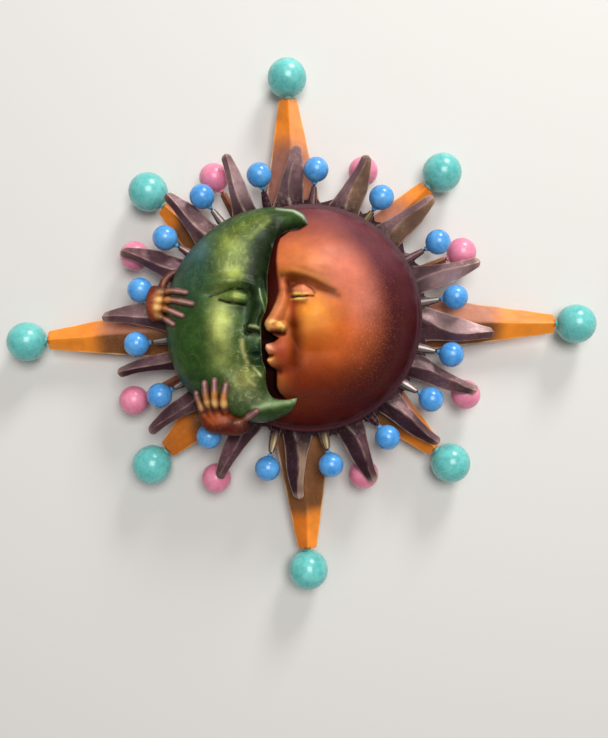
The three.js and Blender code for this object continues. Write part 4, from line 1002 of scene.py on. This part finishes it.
def dome_under(x, y):
    """Height of the sun as the moon's edges rest on it."""
    dome, full, reach = sun_ground(x, y)
    in_face = eased(-1.5, 1.5, x - profile_at(sun_profile, y))
    return np.where(reach >= 1, relief_back + sun_rim_high,
                    dome + full * in_face * (1 - eased(0.8, 1, reach)))


rungs = np.linspace(0, 1, 400)
share = (0.5 - 0.5 * np.cos(np.linspace(0, np.pi, 110)))[None, :]
outer_line, inner_line = bent_through(moon_outer, rungs), bent_through(moon_inner, rungs)
moon_wide = np.linalg.norm(outer_line - inner_line, axis=1)
crest_share = (moon_crests[0] + (moon_crests[1] - moon_crests[0]) * rungs)[:, None]
crest_line = outer_line + (inner_line - outer_line) * crest_share
fullness = eased(25, 75, moon_wide)
thickness = moon_thick * eased(0, 14, moon_wide) + moon_full * fullness
outer_rise = np.maximum(relief_back + moon_edge, dome_under(*outer_line.T) + moon_lip)
inner_rise = dome_under(*inner_line.T) + moon_lip
crest_rise = np.maximum(dome_under(*crest_line.T), outer_rise) + thickness
outside = share < crest_share
away = np.where(outside, (crest_share - share) / crest_share, (share - crest_share) / (1 - crest_share))
rounded = np.sqrt(np.clip(1 - away ** 2.4, 0, 1))
edge_rise = np.where(outside, outer_rise[:, None], inner_rise[:, None])
moon_x = outer_line[:, :1] * (1 - share) + inner_line[:, :1] * share
moon_y = outer_line[:, 1:] * (1 - share) + inner_line[:, 1:] * share
moon_z = edge_rise + (crest_rise[:, None] - edge_rise) * rounded
features = modelled(moon_x, moon_y, moon_swellings, moon_hollows)
lid_away, (lid_high, lid_wide) = run_of(moon_lid, moon_x, moon_y)
features = merged(features, -3.0 + lid_high * (1 - (lid_away / lid_wide) ** 2), 1.0)
features = features - 2.0 * np.exp(-(run_of(moon_lash, moon_x, moon_y)[0] / 1.0) ** 2)
features = features - 0.8 * np.exp(-(run_of(moon_crease, moon_x, moon_y)[0] / 1.2) ** 2)
moon_z = moon_z + features * eased(0, 0.5, rounded) * fullness[:, None]
moon_z = np.maximum(moon_z, dome_under(moon_x, moon_y) + 1.6)
moon_z[[0, -1]] = outer_rise[[0, -1], None]
moon_z = moon_z + 0.3 * hand_wobble(np.stack([moon_x, moon_y, moon_z], -1), 15.0) * eased(0, 0.6, rounded)

coat = np.broadcast_to(linear((50, 76, 28)), (*moon_x.shape, 3)).copy()
coat = painted(coat, moon_x, moon_y, [
    ((-106, 64), (28, 44), (46, 82, 74), 0.85),
    ((-92, 66), (9, 12), (84, 116, 122), 0.5),
    ((-110, -30), (30, 40), (46, 80, 28), 0.8),
    ((-92, -66), (24, 16), (34, 58, 28), 0.8),
    ((-62, 56), (15, 26), (122, 136, 60), 0.75),
    ((-60, 44), (8, 6), (186, 196, 96), 0.6),
    ((-62, 73), (11, 9), (160, 172, 84), 0.5),
    ((-72, -6), (9.5, 26), (180, 188, 98), 0.85),
    ((-70, -36), (10, 12), (140, 152, 80), 0.6),
    ((-50, -56), (11, 11), (172, 172, 98), 0.8),
    ((-45, -74), (18, 9), (120, 130, 96), 0.6),
    # Painted shade in the valley left of the nose
    ((-47, 6), (7, 22), (40, 58, 40), 0.7),
    ([(-62, 80), (-46, 90), (-32, 97)], 6.0, (100, 114, 46), 0.75),
    # Painted highlights along the top edges of the upper and the lower horn
    ([(-20, 107), (-4, 105), (4, 99), (8.5, 93.5)], 1.6, (190, 204, 176), 0.75),
    ([(-41, -84), (-26, -81), (-12, -78), (-3, -76)], 3.0, (160, 184, 130), 0.85),
    ((-20, -91), (18, 5), (34, 62, 22), 0.8),
    # Painted shade on the underside of the upper horn, with a painted highlight along its crest
    ([(-20, 90), (-32, 80), (-38, 66), (-40, 50), (-42, 36)], 8.5, (20, 32, 14), 0.9),
    ([(-27, 94), (-38, 85), (-44, 78)], 2.4, (140, 154, 70), 0.45),
    # Painted shade down the inner edge and on the bridge of the nose, with a painted highlight along the
    # nose's edge
    ([(6, 88), (-4, 88), (-15, 83), (-25, 73), (-29, 60), (-30, 44), (-31, 30)], 7.0, (10, 18, 5), 0.97),
    ([(-41, 30), (-39, 19), (-37, 9), (-38, 0)], 5.5, (32, 50, 28), 0.88),
    ([(-35.5, 28), (-34.5, 22), (-31.5, 13), (-30.5, 6)], 0.6, (138, 158, 112), 0.8),
    # Painted shade under the nose's wing, with a painted highlight on the wing
    ([(-46, -6), (-41, -10.5), (-35, -12)], 3.6, (12, 22, 14), 0.9),
    ([(-44, -6.5), (-39.5, -7.4), (-36.5, -8.6)], 1.3, (214, 224, 160), 0.8),
    ((-39, -17), (7, 4), (120, 146, 110), 0.65),
    ((-37, -32), (8, 11), (22, 54, 44), 0.9),
    ([(-52, -20), (-51, -31), (-47, -41)], 2.0, (200, 194, 124), 0.58),
    ([(-70, 21), (-60, 22.5), (-51, 21)], 4.2, (92, 116, 52), 0.75),
    # Painted highlights on the lid, by the lips and on the chin
    ((-58, 21), (5, 3), (176, 186, 82), 0.6),
    ([(-41, -46), (-37, -49.5), (-34.5, -53)], 1.1, (226, 226, 160), 0.7),
    ([(-45, -58), (-40, -62)], 1.7, (214, 216, 140), 0.55),
    # Painted shade in the crease over the lid
    (moon_crease, 1.2, (10, 20, 8), 0.9),
    (moon_lash, 1.3, (6, 12, 6), 1.0),
    # Painted shade in the nostril and in the parting of the lips
    ([(-47, -12.6), (-36, -12.8)], 2.0, (8, 16, 10), 0.95),
    ([(-45, -32.4), (-31, -33)], 1.2, (6, 18, 12), 0.9),
])
# A painted highlight along the inner edge
coat = mixed(coat, linear((150, 160, 100)), 0.4 * np.broadcast_to(eased(0.985, 0.998, share), moon_x.shape))
# Where the metallic paint is rubbed on: middle, (width, height), strength
moon_rubs = [
    ((-61, 58), (15, 26), 0.8), ((-71, -6), (11, 28), 0.6), ((-50, -56), (13, 16), 1.0),
    ((-52, -28), (5, 14), 1.0), ((-42, -14), (8, 7), 0.5), ((-45, 90), (16, 8), 0.6),
    ((-45, -76), (16, 7), 0.6),
]
rub = np.full(moon_x.shape, 0.13)
for place, wide, strength in moon_rubs:
    rub += strength * np.exp(-((moon_x - place[0]) / wide[0]) ** 2 - ((moon_y - place[1]) / wide[1]) ** 2)
dull_edge = [(6, 88), (-4, 88), (-18, 84), (-30, 72), (-35, 56), (-36, 34)]
rub *= 1 - 0.85 * np.exp(-(run_of(dull_edge, moon_x, moon_y)[0] / 9) ** 2)
moon_paint = cast_paint("moon_paint", (212, 214, 134), 0.36, 0.06, grain=1.8, patch_size=190.0,
                        flake_share=0.6, metal=0.1, shine=0.2, mottle=0.34, patch_edge=0.74)
# The grid runs the other way round from the sun's, so it is turned for its faces to look out
skin_points, skin_faces, skin_coat, skin_rub = relief_skin(
    *(layout[:, ::-1] for layout in (moon_x, moon_y, moon_z, coat, np.clip(rub, 0, 1))),
    relief_back, linear((24, 44, 22)))
piece_from("moon", skin_points, skin_faces, [moon_paint], stands_for=["moon_crescent"],
           crisp=60, colour=skin_coat, rub=skin_rub)

# Hands
# The sun's two hands hold the moon: four fingers and a thumb each, modelled on and smoothed in, lying on the
# moon's surface. They are red-brown with golden knuckles and mauve fingertips; their low parts and the sides
# of the fingers are painted dark as painted shade, and a light line along each finger's top is a painted
# highlight.
upper_fingers = [
    [(-136, 28), (-125, 28.5), (-114, 27), (-104, 24.8)],
    [(-138, 21), (-124, 19.5), (-110, 17), (-97.5, 14)],
    [(-139, 13.5), (-128, 11.5), (-118, 7.5), (-107.5, 3)],
    [(-138, 6), (-131, 3), (-124, -0.5), (-117.5, -4.5)],
    [(-133, 32), (-131, 39), (-126.5, 45), (-119.8, 49)],
]
upper_palm = [((-141, 17), (7.8, 18), 14.5)]
lower_fingers = [
    [(-91, -91), (-94.5, -81), (-96.5, -74), (-97, -69)],
    [(-84.5, -89), (-86.5, -77), (-87.5, -67), (-88, -59)],
    [(-77.5, -88), (-78.5, -76), (-78.3, -66), (-78, -56)],
    [(-69, -88), (-70, -77), (-68.5, -68), (-67.2, -61)],
    [(-65, -99), (-55, -97.5), (-46, -91.5), (-38, -86)],
]
lower_palm = [((-76, -98), (17, 12), 26), ((-62, -103.5), (16, 8.5), 21)]
finger_root, finger_proud, palm_thick = 8.2, 1.4, 15
finger_fillet, palm_fillet = 1.3, 3.5
finger_tip = {"upper": 6.3, "lower": 7.0}
bench_moon = np.stack([moon_x, moon_y, moon_z], -1).reshape(-1, 3)


def moon_under(x, y):
    """Height of the moon's nearest point."""
    near = np.hypot(bench_moon[:, 0] - x, bench_moon[:, 1] - y).argmin()
    return bench_moon[near, 2]


def moulded_skin(field, corner, step):
    """Closed skin where a field of distances passes through nought."""
    inside = field < 0
    cells = np.array(field.shape) - 1
    total, count = np.zeros((*cells, 3)), np.zeros(cells)
    for axis in range(3):
        others = [a for a in range(3) if a != axis]
        for b in (0, 1):
            for c in (0, 1):
                near = [slice(0, n) for n in cells]
                near[others[0]] = slice(b, b + cells[others[0]])
                near[others[1]] = slice(c, c + cells[others[1]])
                far = list(near)
                far[axis] = slice(1, cells[axis] + 1)
                one, other = field[tuple(near)], field[tuple(far)]
                crosses = inside[tuple(near)] != inside[tuple(far)]
                along = np.where(crosses, one / np.where(crosses, one - other, 1), 0)
                total[..., axis] += along
                total[..., others[0]] += b * crosses
                total[..., others[1]] += c * crosses
                count += crosses
    used = count > 0
    number = np.full(cells, -1)
    number[used] = np.arange(used.sum())
    points = np.asarray(corner) + step * (np.argwhere(used) + total[used] / count[used][:, None])
    faces = []
    for axis in range(3):
        b, c = (axis + 1) % 3, (axis + 2) % 3
        spots = np.argwhere(np.diff(inside, axis=axis))
        spots = spots[((spots[:, [b, c]] > 0) & (spots[:, [b, c]] < cells[[b, c]])).all(axis=1)]
        step_b, step_c = np.eye(3, dtype=int)[[b, c]]
        corners = np.stack([number[tuple((spots - db * step_b - dc * step_c).T)]
                            for db, dc in ((1, 1), (0, 1), (0, 0), (1, 0))], -1)
        out = inside[tuple(spots.T)]
        faces += np.where(out[:, None], corners, corners[:, ::-1]).tolist()
    return points, faces


def blended(one, other, soft):
    """Two lumps of paste smoothed into one another."""
    share = np.clip(0.5 + 0.5 * (other - one) / soft, 0, 1)
    return other + (one - other) * share - soft * share * (1 - share)


def hand_skin(fingers, palms, tip, step=0.75):
    """Fingers and palm of one hand as a single moulded skin."""
    palm_middles = np.array([(*middle, relief_back + rise) for middle, _, rise in palms])
    palm_sizes = np.array([(*size, palm_thick / 2) for _, size, _ in palms])
    routes = []
    for run in fingers:
        way = np.linspace(0, 1, 13)
        x, y = bent_through(run, way).T
        lying = np.array([moon_under(*place) for place in zip(x, y)]) + finger_proud
        height = np.maximum(lying, palm_middles[0, 2] + (lying - palm_middles[0, 2]) * way)
        height[0] = palm_middles[0, 2]
        knuckled = (1 + 0.09 * np.exp(-((way - 0.3) / 0.1) ** 2) + 0.05 * np.exp(-((way - 0.66) / 0.08) ** 2)
                    - 0.05 * np.exp(-((way - 0.48) / 0.1) ** 2) - 0.1 * way ** 6)
        route = np.column_stack([x, y, height, (finger_root + (tip - finger_root) * way) / 2 * knuckled])
        ahead = route[-1, :3] - route[-2, :3]
        route[-1, :3] -= ahead / np.linalg.norm(ahead) * route[-1, 3] * 0.55
        routes.append(route)
    stations = np.concatenate(routes)[:, :3]
    palm_room = palm_sizes + 4
    palm_room[:, 2] = 12
    low = np.vstack([stations - 9, palm_middles - palm_room]).min(axis=0)
    high = np.vstack([stations + 9, palm_middles + palm_room]).max(axis=0)
    place = np.stack(np.meshgrid(*(np.arange(low[i], high[i], step) for i in range(3)), indexing="ij"), -1)
    field = np.full(place.shape[:3], 50.0)
    for route in routes:
        finger = np.full(field.shape, 50.0)
        for one, other in zip(route[:-1], route[1:]):
            line = other[:3] - one[:3]
            share = np.clip((place - one[:3]) @ line / line.dot(line), 0, 1)
            gone = np.linalg.norm(place - one[:3] - share[..., None] * line, axis=-1)
            finger = np.minimum(finger, gone - (one[3] + share * (other[3] - one[3])))
        field = blended(field, finger, finger_fillet)
    for middle, size in zip(palm_middles, palm_sizes):
        palm = (np.linalg.norm((place - middle) / size, axis=-1) - 1) * size.min()
        field = blended(field, palm, palm_fillet)
    return moulded_skin(field, low, step)


def hand_coat(points, fingers, tip, back, wrist, gilding, knuckle):
    """Paint of a hand: its back, golden knuckles and tendons, mauve fingertips, painted shade along the sides
    of the fingers and a painted highlight along their tops.
    """
    x, y = points[:, 0], points[:, 1]
    coat = painted(np.broadcast_to(linear((98, 34, 16)), (len(points), 3)), x, y, back)
    for run, gold in zip(fingers, gilding):
        fine = [tuple(point) for point in bent_through(run, np.linspace(0, 1, 13))]
        tendon = [fine[0], tuple((np.array(fine[0]) + wrist) / 2)]
        coat = painted(coat, x, y, [
            (tendon, 1.6, (196, 96, 36), 0.4 * (gold > 0)),
            # Painted shade along the sides of each finger and between the fingers
            (fine[3:], 0.88 * tip, (66, 28, 30), 0.85),
            (fine[3:9], 0.44 * tip, (142, 78, 54), 0.9),
            (fine[8:], 0.5 * tip, (132, 92, 94), 0.9),
            # A painted highlight along the top of each finger, fainter on the thumb
            (fine[2:12], 1.0, (240, 194, 166), 0.5 if gold else 0.2),
            (fine[knuckle:knuckle + 4], 2.8, (232, 148, 62), 0.85 * gold),
            (fine[knuckle], (3.2, 3.2), (255, 206, 124), 0.9 * gold),
        ])
    return coat


# For each hand: its fingers and palm, the paint of its back, its wrist, how far each finger is gilded,
# the thumb not at all, and the point along a finger where its knuckle lies
upper_hand = (upper_fingers, upper_palm, [((-145, 14), (6, 15), (150, 60, 20), 0.85)], (-150, 18),
              (0.35, 1, 1, 0.3, 0), 1)
lower_hand = (lower_fingers, lower_palm,
              [((-66, -106), (26, 9), (84, 18, 8), 0.85), ((-76, -94), (14, 5), (164, 66, 16), 0.85),
               ((-49, -106), (7, 9), (54, 18, 16), 0.85)], (-70, -108), (0.35, 0.75, 1, 0.9, 0), 3)
hand_paint = cast_paint("hand_paint", (255, 204, 140), 0.42, 0.1, grain=1.2, flake_share=0.25, shine=0.2,
                        mottle=0.2)
for side, (fingers, palms, back, wrist, gilding, knuckle) in (("upper", upper_hand), ("lower", lower_hand)):
    points, faces = hand_skin(fingers, palms, finger_tip[side])
    high = (points[:, 2] - points[:, 2].min()) / np.ptp(points[:, 2])
    # Painted shade on the low parts of the hand, down by the moon
    under = np.broadcast_to(linear((70, 26, 20)), (len(points), 3))
    coat = mixed(under, hand_coat(points, fingers, finger_tip[side], back, wrist, gilding, knuckle),
                 eased(0.05, 0.35, high))
    piece_from(f"hand_{side}_piece", points, faces, [hand_paint], stands_for=[f"hand_{side}"],
               crisp=80, colour=coat, rub=np.full(len(points), 0.2))

# Balls
# Turned wooden balls in brushed enamel: turquoise on the orange rays, pink on the thin rays, and blue
# on the prongs. Each is drilled and glued on its pin, with a small collar where the pin goes in.
def enamel(name, colour, deep, gloss):
    """Brushed enamel over turned wood: soft brush lines, thin where the brush lifted, and a satin shine."""
    material, tree, shader = finish(name)
    place = layer(tree, "TexCoord", "Object")
    cloud = layer(tree, "TexNoise", "Fac", Vector=place, Scale=60.0, Detail=4.0)
    streaks = layer(tree, "TexNoise", "Fac", Vector=place, Scale=150.0, Detail=5.0, Distortion=0.9)
    both = layer(tree, "Math", "Value", cloud, streaks, operation="ADD")
    brushed = layer(tree, "Math", "Value", both, 0.5, operation="MULTIPLY")
    feed(shader, Base_Color=blend(tree, brushed, deep, colour, 0.32, 0.66), Coat_Weight=0.3,
         Coat_Roughness=0.2,
         Roughness=layer(tree, "MapRange", "Result", Value=streaks, To_Min=gloss - 0.06, To_Max=gloss + 0.1),
         Normal=layer(tree, "Bump", "Normal", Height=streaks, Strength=0.12, Distance=0.0003))
    return material


def ball_rows(wide, around=40, rings=26):
    """A turned ball about its pin, which comes in along -y, with its collar and its bore."""
    radius, bore = wide / 2, pin_wide / 2 + 0.1
    neck = 1.4 + radius * 0.07
    start = math.asin((neck + 2.6) / radius)
    rise = radius - radius * math.cos(start)
    side = [(bore, 9.3 - radius), (bore, -radius - 2.0), (neck - 0.6, -radius - 2.2),
            (neck - 0.1, -radius - 1.8), (neck + 0.2, -radius - 0.9), (neck + 0.6, -radius),
            (neck + 1.2, -radius + rise * 0.4), (neck + 1.9, -radius + rise * 0.75)]
    side += [(radius * math.sin(turn), -radius * math.cos(turn))
             for turn in np.linspace(start, math.pi - 0.01, rings)]
    turn = np.radians(np.arange(around) * 360 / around)
    return np.array([np.column_stack([reach * np.cos(turn), np.full(around, y), -reach * np.sin(turn)])
                     for reach, y in side])


turquoise = enamel("turquoise_enamel", (124, 214, 206), (80, 174, 171), 0.26)
pink = enamel("pink_enamel", (248, 154, 180), (228, 116, 150), 0.34)
blue = enamel("blue_enamel", (102, 178, 238), (52, 134, 209), 0.26)


def ball(colour, name, rows, paint):
    """Hangs one ball in its place."""
    piece_from(f"ball_{colour}_{name}", rows.reshape(-1, 3), rings_faces(*rows.shape[:2]), [paint],
               stands_for=[f"{colour}_ball_{name}"], crisp=50)


for side, (angle, reach, long) in orange_rays.items():
    ball("turquoise", side, turned(ball_rows(turquoise_wide) + (0, reach, ball_height), angle), turquoise)
for number, (angle, reach) in enumerate(thin_rays, 1):
    ball("pink", number, turned(ball_rows(pink_wide, 36, 22) + (0, reach, ball_height), angle), pink)
for number, (angle, reach) in enumerate(prongs, 1):
    root, slope, length = prong_frame(angle, reach)
    rows = leaned(ball_rows(blue_wide, 32, 20) + (0, length, 0), root, slope)
    ball("blue", number, turned(rows, angle), blue)

# Wall and light
# A plain pale wall behind the hanging, lit softly from above and a little from the right. From
# behind, the wall lets the view through; it is cut out behind the board, so that light reaches it.
def pale_wall():
    """Matt off-white wall paint, clear from behind."""
    material, tree, shader = finish("pale_wall")
    feed(shader, Base_Color=(*linear((224, 221, 216)), 1), Roughness=0.9)
    behind = layer(tree, "NewGeometry", "Backfacing")
    wall_or_view = layer(tree, "MixShader", "Shader", behind, shader.outputs["BSDF"],
                         layer(tree, "BsdfTransparent", "BSDF"))
    feed(tree.nodes["Material Output"], Surface=wall_or_view)
    return material


wall_reach, wall_gap, hole_inset = 6000, 0.6, 3
wall_mesh = bpy.data.meshes.new("wall")
square = round_board / np.abs(round_board).max(axis=1)[:, None]
wall_rows = np.array([np.column_stack([edge, np.full(len(edge), -wall_gap)])
                      for edge in (square * wall_reach, round_board * (np.array(board_half) - hole_inset))])
wall_mesh.from_pydata(stood_up(wall_rows).tolist(), [], rings_faces(*wall_rows.shape[:2], caps=False))
wall_mesh.materials.append(pale_wall())
wall = bpy.data.objects.new("wall", wall_mesh)
bpy.context.scene.collection.objects.link(wall)

# The light all round is white, and past the wall the camera sees the wall's own tone
studio = bpy.data.worlds.new("studio")
studio.use_nodes = True
sky = studio.node_tree
white_light = sky.nodes["Background"]
feed(white_light, Color=(1, 1, 1, 1), Strength=0.22)
wall_tone = layer(sky, "Background", "Background", Color=(0.8, 0.79, 0.77, 1))
seen = layer(sky, "LightPath", "Is Camera Ray")
feed(sky.nodes["World Output"],
     Surface=layer(sky, "MixShader", "Shader", seen, white_light.outputs["Background"], wall_tone))
bpy.context.scene.world = studio


def soft_lamp(name, place, wide, watts):
    """A square soft box that faces the hanging."""
    lamp = bpy.data.lights.new(name, "AREA")
    lamp.shape, lamp.size, lamp.energy = "SQUARE", wide, watts
    stand = bpy.data.objects.new(name, lamp)
    stand.location = place
    x, y, z = place
    stand.rotation_euler = (math.radians(90) - math.atan2(z, math.hypot(x, y)), 0, math.atan2(x, -y))
    bpy.context.scene.collection.objects.link(stand)


soft_lamp("key_lamp", (0.95, -1.2, 2.3), 0.7, 44)
soft_lamp("front_lamp", (0.35, -2.4, 0.5), 1.2, 42)
soft_lamp("back_lamp", (-0.5, 2.2, 0.9), 1.2, 30)
